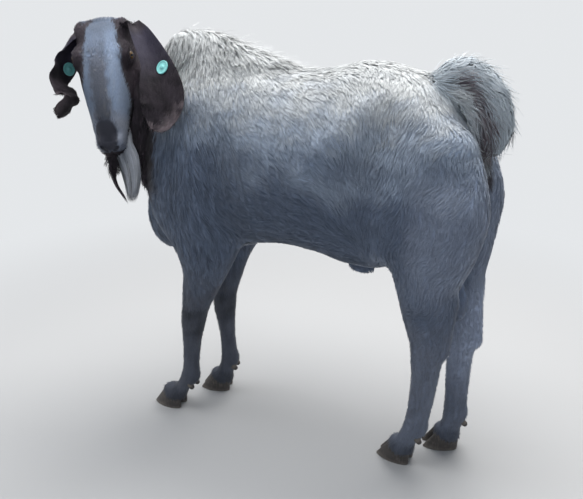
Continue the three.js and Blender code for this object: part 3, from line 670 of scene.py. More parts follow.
# height, first end, second end and width of each ridge or hollow of the sides
RIDGES = {
    "flank": (8.0, (60, 664), (160, 782), 15),
    "flank hollow": (-13.0, (166, 684), (200, 730), 34),
    "hip bone": (6.0, (205, 812), (255, 785), 20),
    "thigh's front edge": (7.0, (228, 640), (208, 530), 17),
    "behind the shoulder": (-8.0, (-104, 700), (-98, 540), 30),
    "shoulder": (6.0, (-178, 720), (-166, 560), 34),
    "thigh's groove": (-6.0, (296, 650), (318, 560), 18),
}


def relief(p: Array) -> Array:
    """How far muscle, bone and lie of the coat stand out of the plain forms, in millimetres.

    The sides have ridges, hollows and faint ribs, and a groove parts the thighs under the tail.
    """
    out = sum(height * ridge(p, *line) for height, *line in RIDGES.values())
    out += 1.2 * np.sin(p[:, 0] / 5.2 + p[:, 2] / 26) * ridge(p, (-60, 660), (60, 650), 50)
    rear = ease(p[:, 0], 285, 325) * span(p[:, 2], 470, 520, 670, 715)
    return out * ease(np.abs(p[:, 1]), 50, 110) - 9.0 * bump(p[:, 1] - 6, 0, 9) * rear


def slope_of(distance: Callable[[Array], Array], p: Array, step: float) -> Pair:
    """A distance at each point and the way in which it grows, from three more points a step beside it."""
    d = distance(p)
    return d, np.stack([distance(p + step * axis) - d for axis in UPRIGHT], 1) / step


@dataclass
class Flesh:
    """The whole body as one smooth form.

    Attributes:
        forms: what it is rounded together from.
        margin: how far from a form its distance is still worked out.
    """

    forms: list[Form] = field(default_factory=body_forms)
    margin: float = 62.0

    def form(self, name: str) -> Form:
        """The first form of that name."""
        return next(form for form in self.forms if form.name == name)

    def _close(self, p: Array) -> Iterator[tuple[int, Form, Array]]:
        """Each form that has points in its box or close to it, with its number and which points they are."""
        for i, form in enumerate(self.forms):
            low, high = form.reach()
            near = ((p > low - self.margin) & (p < high + self.margin)).all(1)
            if near.any():
                yield i, form, near

    def distance(self, p: Array, under: float = 0.0) -> Array:
        """How far each point is outside the body.

        Args:
            p: points, N by 3.
            under: 0 for the tips of the coat, 1 for the skin, and the shares between.

        Returns:
            N distances, below 0 inside.
        """
        total = np.full(len(p), FAR)
        for _, form, near in self._close(p):
            q = p[near]
            d = form.distance(q) + (under * form.depth(q) if under else 0)
            total[near] = blend(total[near], d, form.soft)
        return total - relief(p)

    def slope(self, p: Array) -> Pair:
        """The distance at each point from the coat's tips, and the way in which it grows."""
        return slope_of(self.distance, p, 0.6)

    def weights(self, p: Array) -> Array:
        """The share that each form has in each point: a row for each point, which adds up to 1."""
        far = np.full((len(p), len(self.forms)), FAR)
        for i, form, near in self._close(p):
            far[near, i] = form.distance(p[near])
        share = np.exp(-(far - far.min(1, keepdims=True)) / 9)
        return share / share.sum(1, keepdims=True)

    def coats(self, p: Array, weights: Array) -> Array:
        """The coat at each point, as the forms' numbers mixed by their shares."""
        rows = np.array([form.coat.row() for form in self.forms])
        coats = weights @ rows
        for i, form in enumerate(self.forms):
            if isinstance(form, Leg):
                down = (weights[:, i] * (1 - ease(p[:, 2], *form.shank)))[:, None]
                coats += down * (SHANK_COAT.row() - rows[i])
        return coats

    def lies(self, p: Array, weights: Array) -> Array:
        """The way of the hair at each point, mixed from the forms' ways more softly than their shares."""
        way = np.zeros_like(p)
        for i, form in enumerate(self.forms):
            near = weights[:, i] > 0.003
            if near.any():
                way[near] += weights[near, i, None] ** 0.4 * unit(form.lie(p[near]))
        return unit(way)


# ---- meshes
@dataclass
class Shell:
    """A mesh before it is handed to Blender.

    Attributes:
        points: N by 3, in working millimetres.
        faces: rows of three or four indices.
        values: named values for each point, of one, two or three columns.
        spots: the place of each point on the flat unwrap, or nothing.
        normals: the shading normal of each point, or nothing.
    """

    points: Array
    faces: Array
    values: dict[str, Array] = field(default_factory=dict)
    spots: Array | None = None
    normals: Array | None = None

    def build(self, name: str, finish: Material) -> Object:
        """Makes the object, at the origin and unturned.

        Args:
            name: the piece's name.
            finish: its material.

        Returns:
            The object, linked to the scene.
        """
        mesh = bpy.data.meshes.new(name)
        sides, faces = self.faces.shape[1], len(self.faces)
        mesh.vertices.add(len(self.points))
        mesh.vertices.foreach_set("co", place(self.points).astype(np.float32).ravel())
        mesh.loops.add(faces * sides)
        mesh.loops.foreach_set("vertex_index", self.faces.astype(np.int32).ravel())
        mesh.polygons.add(faces)
        mesh.polygons.foreach_set("loop_start", np.arange(0, faces * sides, sides, dtype=np.int32))
        mesh.update(calc_edges=True)
        mesh.validate()
        mesh.polygons.foreach_set("use_smooth", np.ones(len(mesh.polygons), bool))
        loops = np.empty(len(mesh.loops), np.int32)
        mesh.loops.foreach_get("vertex_index", loops)
        kinds = {1: ("FLOAT", "value"), 2: ("FLOAT2", "vector"), 3: ("FLOAT_VECTOR", "vector")}
        for key, value in self.values.items():
            kind, slot = kinds[value.size // len(self.points)]
            mesh.attributes.new(key, kind, "POINT").data.foreach_set(slot, value.astype(np.float32).ravel())
        if self.spots is not None:
            layer = mesh.uv_layers.new(name="OFBake")
            layer.data.foreach_set("uv", self.spots[loops].astype(np.float32).ravel())
        if self.normals is not None:
            mesh.normals_split_custom_set_from_vertices(self.normals.astype(np.float32))
        mesh.materials.append(finish)
        obj = bpy.data.objects.new(name, mesh)
        bpy.context.collection.objects.link(obj)
        return obj


def tube_faces(rings: int, around: int) -> Array:
    """The four-sided faces of a tube of rings, closed round, as rows of indices."""
    i, j = np.meshgrid(np.arange(rings - 1) * around, np.arange(around), indexing="ij")
    k = (j + 1) % around
    return np.stack([i + j, i + k, i + around + k, i + around + j], -1).reshape(-1, 4)


def closed_tube(grid: Array, values: dict[str, Array] | None = None) -> Shell:
    """A tube of rings with a fan at each end, meeting in the middle of its last ring.

    Args:
        grid: rings by around by 3 points, wound so that the faces look outwards.
        values: named values, rings by around by columns; a fan's middle takes the mean of its ring.

    Returns:
        The closed shell, in triangles.
    """
    rings, around = grid.shape[:2]
    quads = tube_faces(rings, around)
    fan = np.arange(around)
    after = (fan + 1) % around
    last, middle = (rings - 1) * around, rings * around
    faces = np.concatenate([
        quads[:, [0, 1, 2]], quads[:, [0, 2, 3]],
        np.stack([after, fan, np.full(around, middle)], 1),
        np.stack([last + fan, last + after, np.full(around, middle + 1)], 1)])

    def whole(v: Array) -> Array:
        rows = v.reshape(rings, around, -1)
        return np.concatenate([rows.reshape(rings * around, -1), rows[[0, -1]].mean(1)])

    return Shell(whole(grid), faces, {k: whole(v) for k, v in (values or {}).items()})


def outward(shell: Shell) -> Shell:
    """The same closed shell with its faces looking outwards, found from the sign of its volume."""
    p = shell.points - shell.points.mean(0)
    a, b, c = (p[shell.faces[:, i]] for i in range(3))
    if (a * np.cross(b, c)).sum() < 0:
        shell.faces = shell.faces[:, ::-1]
    return shell


# ---- the face's own detail
def carve(a: Array, b: Array, k: float) -> Array:
    """The first distance with the second's inside cut away, rounded over k: the greater of a and minus b."""
    return -blend(-a, b, k)


@dataclass(frozen=True)
class Face:
    """What the skin of the head adds to its forms, in millimetres in the head's axes.

    Attributes:
        eye: the middle of the left eye.
        radius: of the eyeball.
        lid: the thickness of the lids.
        slit: half the length of the open slit, and its half heights above and below.
        gaze: the way the left eye looks.
    """

    eye: Triple = (60.0, 46.5, -15.0)
    radius: float = 14.5
    lid: float = 2.3
    slit: Triple = (14.5, 6.6, 4.6)
    gaze: Triple = (0.16, 1.0, 0.24)

    def eye_axes(self, side: int) -> Pair:
        """The middle of one eye, and its axes: along the slit to the nose, to the brow, and its gaze."""
        mirror = np.array([1, side, 1])
        gaze = unit(np.array(self.gaze) * mirror)
        slit = np.array([1.0, 0, -0.22])
        slit = unit(slit - (slit @ gaze) * gaze)
        brow = np.cross(gaze, slit) * side
        brow = brow * np.sign(brow[2])
        return on_head(np.array(self.eye) * mirror), np.array([slit, brow, gaze]) @ HEAD_AXES

    def eye_view(self, p: Array, side: int) -> Array:
        """Each point along the slit, towards the brow and out along the gaze of one eye."""
        at, axes = self.eye_axes(side)
        return (p - at) @ axes.T

    def opening(self, q: Array) -> Array:
        """How far points in an eye's own axes are outside the slit, whose two lids are parabolas."""
        long, over, under = self.slit
        high = np.where(q[:, 1] > 0, over, under)
        return 0.85 * (np.abs(q[:, 1]) - high * (1 - (q[:, 0] / long) ** 2))

    def eyelids(self, q: Array, d: Array) -> Array:
        """The distance with one eye's lids, ridge, crease, slit and tear corner, in that eye's axes."""
        far, opening = np.linalg.norm(q, axis=1), self.opening(q)
        d = blend(d, far - self.radius - self.lid, 7)
        d = blend(d, np.linalg.norm(q / [1.5, 1.0, 1.0] - [0, 15.5, -1], axis=1) - 6.5, 10)
        d = d + 1.1 * bump(np.abs(opening - 4.2), 0, 1.2) * (q[:, 2] > 0) * ease(far, 26, 18)
        d = carve(d, np.maximum.reduce([opening, far - self.radius - 9, self.radius * 0.35 - q[:, 2]]), 1.2)
        return d + 1.6 * bump(np.linalg.norm((q - [19, -5, 9]) / [8, 2.4, 4], axis=1), 0, 0.8)

    def mouth(self, s: Array) -> Array:
        """The level of the mouth line out of the brow, at each station along the head."""
        return -75 + 5 * ease(s, 238, 176) + 4 * ease(s, 236, 250)

    def nostrils(self, p: Array) -> Array:
        """How far points are from the middle of the nearer nostril, as a share of its slanting oval."""
        s, across, out = head_view(p)
        near = np.abs(across) - 11.5
        slot = np.stack([s - 236, near * 0.8 - (out + 42) * 0.6, near * 0.6 + (out + 42) * 0.8], 1)
        return np.linalg.norm(slot / [14, 2.9, 8], axis=1)

    def shape(self, p: Array, d: Array) -> Array:
        """The skin's distance with the lids, nostrils, mouth and folds worked into it.

        Args:
            p: points near the head.
            d: the plain skin's distance at each.

        Returns:
            The distance from the finished skin.
        """
        s, across, out = head_view(p)
        brow = span(s, 28, 44, 78, 96) * ease(np.abs(across), 40, 26) * ease(out, -34, -14)
        fold = 2 * math.pi * (s + 2.2 * np.sin(across / 11) + 1.6 * ripple(p, 34, 21)) / 9.4
        d = d - 0.55 * brow * np.sin(fold) * (0.6 + 0.4 * ripple(p, 26, 22))
        d = d + 2.2 * bump(across, 0, 9) * span(s, 5, 30, 70, 100) * (out > -25)
        for side in (-1, 1):
            d = self.eyelids(self.eye_view(p, side), d)
        d = carve(d, (self.nostrils(p) - 1) * 2.9, 1.6)
        lips = ease(s, 166, 182) * (out < -55)
        d = d + 3.2 * lips * bump(out, self.mouth(s), 2.1)
        d = d + 1.8 * bump(across, 0, 1.7) * ease(s, 232, 240) * (out < -46) * (out > -74)
        return d + ease(s, 205, 212) * bump(np.abs(across) - 21 + 0.25 * (s - 205), 0, 1.5) * (out > -42)


FACE = Face()


# ---- ears
@dataclass
class Ear:
    """One ear: a cupped sheet through rows of centre, half width, cup, and the turn and rise of its width.

    Attributes:
        name: the node that it stands for.
        side: 1 for the goat's left, -1 for its right.
        rows: its sizes from root to tip.
        tag: how far along it its tag sits.
        tag_across: how far across it, as a share of its half width.
        thick: its thickness in the middle.
    """

    name: str
    side: int
    rows: list[list[float]]
    tag: float
    tag_across: float
    thick: float = 3.6
    rings: int = 72
    around: int = 40

    def blade(self, t: Array) -> tuple[Array, Array, Array, Array, Array]:
        """At each share of its length: centre, half width, cup, the way across and the way out of it."""
        rows = numbered(self.rows)
        k = t * (len(rows) - 1)
        _, x, y, z, half, cup, yaw, rise = course(rows, k).T
        f = heading(rows, k, 0.05)
        yaw, rise = np.radians(yaw), np.radians(rise)
        lie = np.stack([np.cos(yaw) * np.cos(rise), np.sin(yaw) * np.cos(rise), np.sin(rise)], 1)
        w = unit(lie - (lie * f).sum(1, keepdims=True) * f)
        return np.stack([x, y, z], 1), half, cup, w, np.cross(w, f)

    def shell(self) -> Shell:
        """The ear as a closed sheet: a thin oval section bent by the cup, thinner and waved at its rims."""
        t = np.linspace(0, 1, self.rings)
        c, half, cup, w, n = self.blade(t)
        a = circle(self.around)
        v, edge = np.cos(a), np.sin(a)
        half = (half - 1.6)[:, None]
        wave = (1.3 * np.sin(7 * t * math.pi + self.side) * ease(t, 0.15, 0.4))[:, None] * np.abs(v) ** 3
        tip = np.sqrt(np.clip(1 - ((t[:, None] - 0.88) / 0.12).clip(0, 1) ** 2.4, 0.004, 1))
        deep = cup[:, None] * (1 - v**2) - cup[:, None] / 2 + wave + self.thick / 2 * edge * tip
        roll = 2.2 * np.abs(v) ** 6 * ease(t, 0.1, 0.3)[:, None]
        grid = c[:, None] + w[:, None] * (half * v * tip)[..., None] + n[:, None] * (deep + roll)[..., None]
        root = on_head((4, 24 * self.side, -24))
        neck = root + (grid[:3] - grid[:3].mean(1, keepdims=True)) * 0.6
        lead = ease(np.arange(3), -1, 3)[:, None, None]
        neck = neck * (1 - lead * 0.6) + grid[:1] * lead * 0.6
        grid = np.concatenate([neck, grid])
        return outward(closed_tube(grid, {"ear": np.ones((*grid.shape[:2], 1))}))

    def view(self, p: Array) -> tuple[Array, Array, Array, Array, Array]:
        """Where points are on the ear.

        Args:
            p: points on the ear or near it.

        Returns:
            The shares of its length and half width, the height over the blade's own sheet, the way to the tip
            and the way out of the hollow.
        """
        t = np.linspace(0, 1, 160)
        c, half, cup, w, n = self.blade(t)
        i = ((p[:, None] - c[None]) ** 2).sum(-1).argmin(1)
        q = p - c[i]
        v = (q * w[i]).sum(1) / half[i]
        deep = (q * n[i]).sum(1) - (cup[i] * (1 - v.clip(-1, 1) ** 2) - cup[i] / 2)
        return t[i], v, deep, np.cross(n[i], w[i]), n[i]


EARS = (
    Ear("ear_left", 1, [
        [-336, -70, 911, 14, 9, 31, -16], [-298, -92, 885, 22, 11, 22, 12], [-257, -116, 848, 30, 13, 16, 16],
        [-231, -138, 811, 43, 12, 14, 14], [-218, -153, 775, 47, 9, 13, 9], [-223, -164, 744, 36, 6, 14, 22],
        [-230, -172, 724, 18, 3, 14, 26]], 0.41, 0.3),
    Ear("ear_right", -1, [
        [-433, -104, 903, 14, 9, 144, 14], [-453, -114, 877, 22, 10, 104, 6], [-467, -118, 849, 29, 10, 83, 0],
        [-471, -132, 823, 34, 9, 91, 0], [-469, -150, 801, 38, 6, 112, 0], [-449, -158, 781, 38, 1, 112, 0],
        [-435, -162, 767, 35, -4, 112, 0], [-439, -174, 751, 32, -6, 98, 0], [-449, -186, 734, 24, -4, 84, 0]],
        0.36, 0.4),
)


BETWEEN_EARS = -350.0                      # the left ear lies behind this station, the right one before it


def ears_of(p: Array, on_ear: Array) -> list[tuple[Ear, Array]]:
    """Each ear, and which of the points are its own."""
    return [(ear, on_ear & (np.sign(p[:, 0] - BETWEEN_EARS) == ear.side)) for ear in EARS]


# ---- markings, with painted light and shade
# the white coat on the sides, darkened and cooled as painted shade
SHADED_WHITE = np.array([0.44, 0.53, 0.675])
CREAM = np.array([0.77, 0.795, 0.795])
# the front legs' own dirty grey, darkened further as painted shade
LEG_TONE = np.array([0.09, 0.097, 0.122])
# the hind legs' own dirty grey, darkened further as painted shade
HIND_TONE = np.array([0.165, 0.19, 0.25])
# deeper painted cool shade, low on the body
LOW_SHADE = np.array([0.112, 0.148, 0.225])
CHOCOLATE = np.array([0.025, 0.020, 0.025])
# the white blaze, darkened and cooled as painted shade
SHADED_BLAZE = np.array([0.19, 0.25, 0.36])
SLATE = np.array([0.075, 0.085, 0.115])
PALE_SKIN = np.array([0.40, 0.32, 0.34])
NOSE = np.array([0.028, 0.029, 0.040])
LIP = np.array([0.28, 0.30, 0.36])
# the tail's white, brightened and cooled as painted back light
LIT_TAIL_WHITE = np.array([0.80, 0.90, 0.98])
TAIL_SHADE = np.array([0.17, 0.135, 0.155])


def mixed(colour: Array, *layers: Pair) -> Array:
    """A colour turned into each layer's tone, one after the other, by its share at each point."""
    for tone, share in layers:
        share = np.asarray(share).reshape(-1, 1)
        colour = colour * (1 - share) + tone * share
    return colour


@dataclass
class Markings:
    """The goat's colours, with light and shade painted in: white, with a dark head, throat and ears and a pale
    blaze down the face.

    Attributes:
        flesh: the body's form.
        blaze: for each station along the head, how many degrees the blaze reaches to the left and the right.
        soft: how many degrees its edge takes.
        arch: the line that the tail's band of painted shade follows, seen from the side.
    """

    flesh: Flesh
    blaze: tuple[Triple, ...] = (
        (-30, 26, 26), (-10, 31, 30), (20, 33, 31), (59, 35, 27), (90, 38, 27), (113, 45, 34), (132, 64, 60),
        (148, 88, 90), (170, 100, 100), (260, 110, 110))
    soft: float = 3.5
    arch: tuple[tuple[float, float], ...] = ((292, 824), (322, 808), (350, 778), (362, 722))

    def _head_gap(self, p: Array) -> Array:
        """How far each point is from the head's own forms."""
        gaps = [form.distance(p) for form in self.flesh.forms if form.region is Region.HEAD]
        return np.minimum(np.min(gaps, axis=0), FAR)

    def _near_form(self, p: Array, name: str, soft: float) -> Array:
        """How fully each point belongs to one named form: 1 on it, 0 where it is that far off."""
        return ease(self.flesh.form(name).distance(p), soft, -2)

    def dark(self, p: Array) -> Array:
        """The share of the dark colour: the head's sides and back and the throat, but not the blaze."""
        s, across, out = head_view(p)
        fray = 4.5 * ripple(p, (7, 7, 16), 3) + 3 * ripple(p, 30, 4)
        head = ease(self._head_gap(p) + 0.8 * fray, 74, 48) * ease(s - 0.25 * (out + 40) + fray, -36, -22)
        angle = np.degrees(np.arctan2(np.abs(across), out + 50))
        station, left, right = np.array(self.blaze).T
        limit = np.where(across > 0, np.interp(s, station, left), np.interp(s, station, right))
        blaze = ease(angle - limit + 0.55 * fray, -self.soft, self.soft)
        q = (p - [-318.0, -62, 690]) / [62.0, 74, 92]
        throat = ease(np.linalg.norm(q, axis=1) + 0.02 * fray, 1.08, 0.86)
        return np.maximum(head * blaze, throat)

    def tail(self, p: Array, colour: Array) -> Array:
        """The colour with the tail's: pale in painted back light, with painted shade along its arch and under
        it.
        """
        x, y, z = p.T
        near = np.maximum(self._near_form(p, "tail", 12), self._near_form(p, "tail fringe", 12))
        # band: painted shade along the inner side of the tail's arch
        band = np.max([ridge(p, a, b, 9) for a, b in zip(self.arch, self.arch[1:])], axis=0)
        band = (1.15 * band * (1 + 0.25 * ripple(p, (12, 12, 30), 36))).clip(0, 1)
        # strip: a painted highlight near the tail's root
        strip = 0.9 * ridge(p, (284, 806), (330, 772), 8)
        # cleft: a painted shadow under the tail's tip
        cleft = 0.9 * ridge(p, (350, 734), (354, 700), 13)
        # under: painted shade in the crease between the thighs below the tail
        under = ease(x, 300, 322) * ease(np.abs(y - 12), 30, 15) * span(z, 480, 640, 708, 742)
        return mixed(colour, (LIT_TAIL_WHITE, near), (TAIL_SHADE, band * near), (CREAM * 1.2, strip * near),
                     (TAIL_SHADE * 0.35, cleft * near),
                     (TAIL_SHADE * 0.25, (0.95 * under * (1 - near)).clip(0, 1)))

    def body(self, p: Array) -> Array:
        """The colour without the head's: white above, painted cool shade below, streaked, with dark legs."""
        x, y, z = p.T
        # soil is random noise: it roughens the edge of the painted shade under the back, and the real stain on
        # the knees
        soil = 0.5 + 0.5 * ripple(p, (60, 60, 34), 5)
        height = z + 30 * ripple(p, 90, 9) - 70 * ease(x, -80, -190)
        # the back keeps the coat's own cream-white; below it the sides take painted cool shade, deeper lower
        # down
        colour = mixed(SHADED_WHITE, (CREAM, ease(z + 40 * soil, 730, 860)),
                       (LOW_SHADE, 0.94 * ease(height, 765, 605)))
        hang = ease(x, -90, -150)
        streaks = 0.3 * hang * ripple(p, (9, 9, 90), 31) + 0.09 * (1 - hang) * ripple(p, (52, 20, 12), 32)
        clouds = 0.06 * ripple(p, (70, 40, 50), 33)
        # tuft: a painted highlight along the lit upper side of the flank's ridge
        tuft = 0.3 * ridge(p, (60, 664), (156, 776), 11) * (0.7 + 0.5 * ripple(p, 17, 35))
        # painted shade in the relief's hollows and painted light on its ridges
        shade = 0.019 * relief(p).clip(-16, 12) * (1 + clouds * 4)
        colour = colour * (1 + shade + streaks + clouds + tuft)[:, None]
        low = ease(z + 26 * ripple(p, 60, 6), 500, 270)
        mottle = (0.5 + 0.5 * ripple(p, (26, 26, 60), 7)).clip(0, 1)
        # the legs' tones: their own dirty grey with painted shade in it
        fore = mixed(LEG_TONE * 0.85, (LEG_TONE * 1.25, mottle))
        hind = mixed(HIND_TONE * 0.88, (HIND_TONE * 1.12, mottle))
        # painted back light: the rear of the thighs and the inner side of the far hind leg are lightened
        rear = 0.6 * ease(x, 235, 300) * ease(z, 400, 520)
        inside = span(y, 20, 50, 84, 130) * ease(x, 130, 230) * span(z, 120, 300, 400, 660)
        rear = np.maximum(rear, 0.8 * inside) * ease(z, 720, 660)
        knee = span(z, 196, 250, 292, 312) * ease(-x, 60, 100)
        legs = mixed(fore, (hind, ease(x, -60, 60)))
        return mixed(colour, (legs, 0.92 * low), (HIND_TONE * 2.8, 0.8 * rear),
                     (LEG_TONE * 0.30, 0.75 * knee * (0.5 + 0.5 * soil.clip(0, 1))),
                     (LEG_TONE * 0.35, 0.6 * ease(z, 70, 40)))

    def tint(self, p: Array) -> Array:
        """The colour of the coat at each point of the body."""
        s, across, _ = head_view(p)
        face = ease(self._head_gap(p), 22, 6)
        edge = np.abs(across + 5 - 0.02 * s) + 3 * ripple(p, (9, 9, 22), 24)
        stripe = 0.95 * ease(edge, 25, 9) * (0.3 + 0.7 * ease(s, 30, 100))
        # folds: painted shade in the brow's wrinkles
        folds = span(s, 30, 42, 84, 100) * ease(ripple(p, 12, 23), 0, 1.4)
        # the blaze's tones carry painted cool shade
        return mixed(
            self.tail(p, self.body(p)), (SHADED_BLAZE, face * ease(s, -45, -15)),
            (SHADED_BLAZE * 1.3, 0.8 * face * ease(s, 20, 60) * bump(across, 27, 8)),
            (LIP, 0.8 * face * ease(s, 165, 200)), (SHADED_BLAZE * 0.5, 0.8 * face * ease(s, 34, -6)),
            (SLATE * (1.1 - 0.4 * ease(s, 120, 190))[:, None], face * stripe),
            (SLATE * 1.5, 0.3 * face * folds), (CHOCOLATE, self.dark(p)), (NOSE, self.pad(p)))

    def pad(self, p: Array) -> Array:
        """The share of the bare dark skin of the nose."""
        s, across, out = head_view(p)
        rounded = (np.abs(across + 3) / 21) ** 3 + (np.abs(s - 219) / 24) ** 3 + 0.12 * ripple(p, 6, 25)
        nose = np.maximum(ease(rounded, 1.5, 0.7) * ease(out, -56, -44), ease(FACE.nostrils(p), 1.6, 1.25))
        return nose * ease(self._head_gap(p), 16, 6)

    def bare(self, p: Array) -> Array:
        """The share of skin without hair: the nose, the lips' edge and the rims and insides of the lids."""
        s, _, out = head_view(p)
        lips = ease(s, 170, 180) * bump(out, FACE.mouth(s), 2.6) * (self._head_gap(p) < 12)
        bare = np.maximum(self.pad(p), lips)
        for side in (-1, 1):
            q = FACE.eye_view(p, side)
            near = ease(np.linalg.norm(q, axis=1), 24, 20) * (q[:, 2] > 0)
            bare = np.maximum(bare, near * ease(FACE.opening(q), 1.6, 0.9))
        return bare


# ---- the skin
def surface_nets(distance: Callable[[Array], Array], low: Array, high: Array, step: float) -> Pair:
    """The surface where a distance is 0, as a net of four-sided faces with one point in each crossed cell.

    A coarse grid finds where the surface can be; only there is the fine grid worked out. Each cell's point is
    the mean of the places where its edges cross the surface.

    Args:
        distance: gives the distance of N points.
        low: the box's lowest corner.
        high: its highest corner.
        step: the size of a cell.

    Returns:
        The points, and the faces as rows of four indices, looking outwards.
    """
    block = 4
    count = np.ceil((high - low) / (step * block)).astype(int)
    axes = [low[a] + step * np.arange(count[a] * block) for a in range(3)]
    grid = np.stack(np.meshgrid(*axes, indexing="ij"), -1)
    middles = grid[block // 2::block, block // 2::block, block // 2::block]
    rough = distance(middles.reshape(-1, 3)).reshape(middles.shape[:3])
    for axis in range(3):
        rough = np.repeat(rough, block, axis)
    close = np.abs(rough) < step * block * 1.6
    value = rough.copy()
    value[close] = distance(grid[close])
    inside = value < 0
    shape = np.array(value.shape) - 1
    total, crossed = np.zeros((*shape, 3)), np.zeros(shape)
    edges = []
    for axis in range(3):
        a, b = [slice(None)] * 3, [slice(None)] * 3
        a[axis], b[axis] = slice(0, -1), slice(1, None)
        va, vb = value[tuple(a)], value[tuple(b)]
        cross = inside[tuple(a)] != inside[tuple(b)]
        t = np.where(cross, va / np.where(cross, va - vb, 1), 0)[..., None]
        at = grid[tuple(a)] * (1 - t) + grid[tuple(b)] * t
        edges.append(cross)
        first, second = [o for o in range(3) if o != axis]
        for i in (0, 1):
            for j in (0, 1):
                part = [slice(None)] * 3
                part[first], part[second] = slice(i, i + shape[first]), slice(j, j + shape[second])
                hit = cross[tuple(part)]
                total += np.where(hit[..., None], at[tuple(part)], 0)
                crossed += hit
    used = crossed > 0
    number = np.full(used.shape, -1)
    number[used] = np.arange(used.sum())
    points = total[used] / crossed[used][:, None]
    faces = []
    for axis in range(3):
        first, second = [o for o in range(3) if o != axis]
        part = [slice(None)] * 3
        part[first], part[second] = slice(1, -1), slice(1, -1)
        one, two = UPRIGHT[[first, second]].astype(int)
        base = np.argwhere(edges[axis][tuple(part)]) + one + two
        corners = [base - i * one - j * two for i, j in ((1, 1), (0, 1), (0, 0), (1, 0))]
        quad = np.stack([number[tuple(q.T)] for q in corners], 1)
        flip = inside[tuple(base.T)] ^ (axis == 1)
        faces.append(np.where(flip[:, None], quad, quad[:, ::-1]))
    return points, np.concatenate(faces)


@dataclass
class Skin:
    """The one skin of the goat: body, legs, head, tail and ears.

    Attributes:
        flesh: the body's form.
        step: the size of the net's cells.
        low: the lowest corner of the box that the net is sought in.
        high: its highest corner.
    """

    flesh: Flesh
    step: float = 7.5
    low: Triple = (-530.0, -262.0, 8.0)
    high: Triple = (450.0, 200.0, 950.0)

    def fine(self, p: Array) -> Array:
        """The distance from the skin with the face's detail."""
        d = self.flesh.distance(p, 1)
        s, across, out = head_view(p)
        near = (s > -40) & (s < 290) & (np.abs(across) < 90) & (out > -150) & (out < 60)
        d[near] = FACE.shape(p[near], d[near])
        return d

    def settle(self, p: Array, rounds: int = 3, extra: int = 5) -> Array:
        """Moves points down the distance's slope onto the skin, with extra rounds at eyes and muzzle."""
        for i in range(rounds + extra):
            part = np.ones(len(p), bool) if i < rounds else self.delicate(p)
            q = p[part]
            d, slope = slope_of(self.fine, q, 0.4)
            p[part] = q - (d / np.maximum((slope**2).sum(1), 0.3)).clip(-3, 3)[:, None] * slope
        return p

    def body(self) -> Shell:
        """The body without its ears: the net, refined twice on the head and again round eyes and muzzle."""
        low, high = np.array([self.low, self.high])
        points, faces = surface_nets(lambda p: self.flesh.distance(p, 1), low, high, self.step)
        mesh = bpy.data.meshes.new("net")
        mesh.from_pydata(points, [], faces.tolist())
        work = bmesh.new()
        work.from_mesh(mesh)

        def refine(chosen: Callable[[Array], Array]) -> None:
            at = np.array([v.co[:] for v in work.verts])
            pick = chosen(at)
            work.verts.index_update()
            edges = [e for e in work.edges if pick[e.verts[0].index] and pick[e.verts[1].index]]
            bmesh.ops.subdivide_edges(work, edges=edges, cuts=1, use_grid_fill=True)

        head = self.flesh.form("head")
        refine(lambda p: head.distance(p) < 26)
        refine(lambda p: head.distance(p) < 18)
        refine(self.delicate)
        bmesh.ops.triangulate(work, faces=work.faces[:])
        work.to_mesh(mesh)
        work.free()
        points = np.empty(len(mesh.vertices) * 3, np.float32)
        mesh.vertices.foreach_get("co", points)
        corners = np.empty(len(mesh.loops), np.int32)
        mesh.loops.foreach_get("vertex_index", corners)
        bpy.data.meshes.remove(mesh)
        points = self.settle(points.reshape(-1, 3).astype(float))
        return Shell(points, corners.reshape(-1, 3), {"ear": np.zeros((len(points), 1))})

    def delicate(self, p: Array) -> Array:
        """Whether points are near an eye or on the front of the muzzle."""
        s, across, out = head_view(p)
        near = (s > 212) & (s < 262) & (out > -92) & (np.abs(across) < 40)
        for side in (-1, 1):
            near |= np.linalg.norm(FACE.eye_view(p, side), axis=1) < 25
        return near

    def united(self) -> Shell:
        """The body and both ears as one closed mesh, by a Boolean union."""
        plain = bpy.data.materials.new("plain")
        body = self.body().build("skin body", plain)
        parts = [ear.shell().build(ear.name + " sheet", plain) for ear in EARS]
        for part in parts:
            join = body.modifiers.new("ear", "BOOLEAN")
            join.operation, join.solver, join.object = "UNION", "MANIFOLD", part
        solid = body.evaluated_get(bpy.context.evaluated_depsgraph_get()).to_mesh()
        solid.calc_loop_triangles()
        points = np.empty(len(solid.vertices) * 3)
        solid.vertices.foreach_get("co", points)
        faces = np.empty(len(solid.loop_triangles) * 3, np.int32)
        solid.loop_triangles.foreach_get("vertices", faces)
        ear = np.zeros(len(solid.vertices), np.float32)
        if "ear" in solid.attributes:
            solid.attributes["ear"].data.foreach_get("value", ear)
        LOG.info("skin: %d points, %d of them on the ears", len(solid.vertices), int((ear > 0.5).sum()))
        for obj in [body, *parts]:
            bpy.data.objects.remove(obj)
        return Shell(working(points.reshape(-1, 3)), faces.reshape(-1, 3), {"ear": ear[:, None]})


# ---- the coat
def normals_of(points: Array, faces: Array) -> Pair:
    """The outward normal at each point, and each triangle's area."""
    a, b, c = (points[faces[:, i]] for i in range(3))
    cross = np.cross(b - a, c - a)
    total = np.zeros_like(points)
    for i in range(3):
        np.add.at(total, faces[:, i], cross)
    return unit(total), np.linalg.norm(cross, axis=1) / 2


def flat(way: Array, normal: Array) -> Array:
    """Ways laid flat on the surface with those normals, at length 1."""
    return unit(way - (way * normal).sum(-1, keepdims=True) * normal)


def turned(way: Array, normal: Array, angle: Array) -> Array:
    """Ways turned about their normals, which they are square to, by an angle in radians each."""
    return way * np.cos(angle)[:, None] + np.cross(normal, way) * np.sin(angle)[:, None]


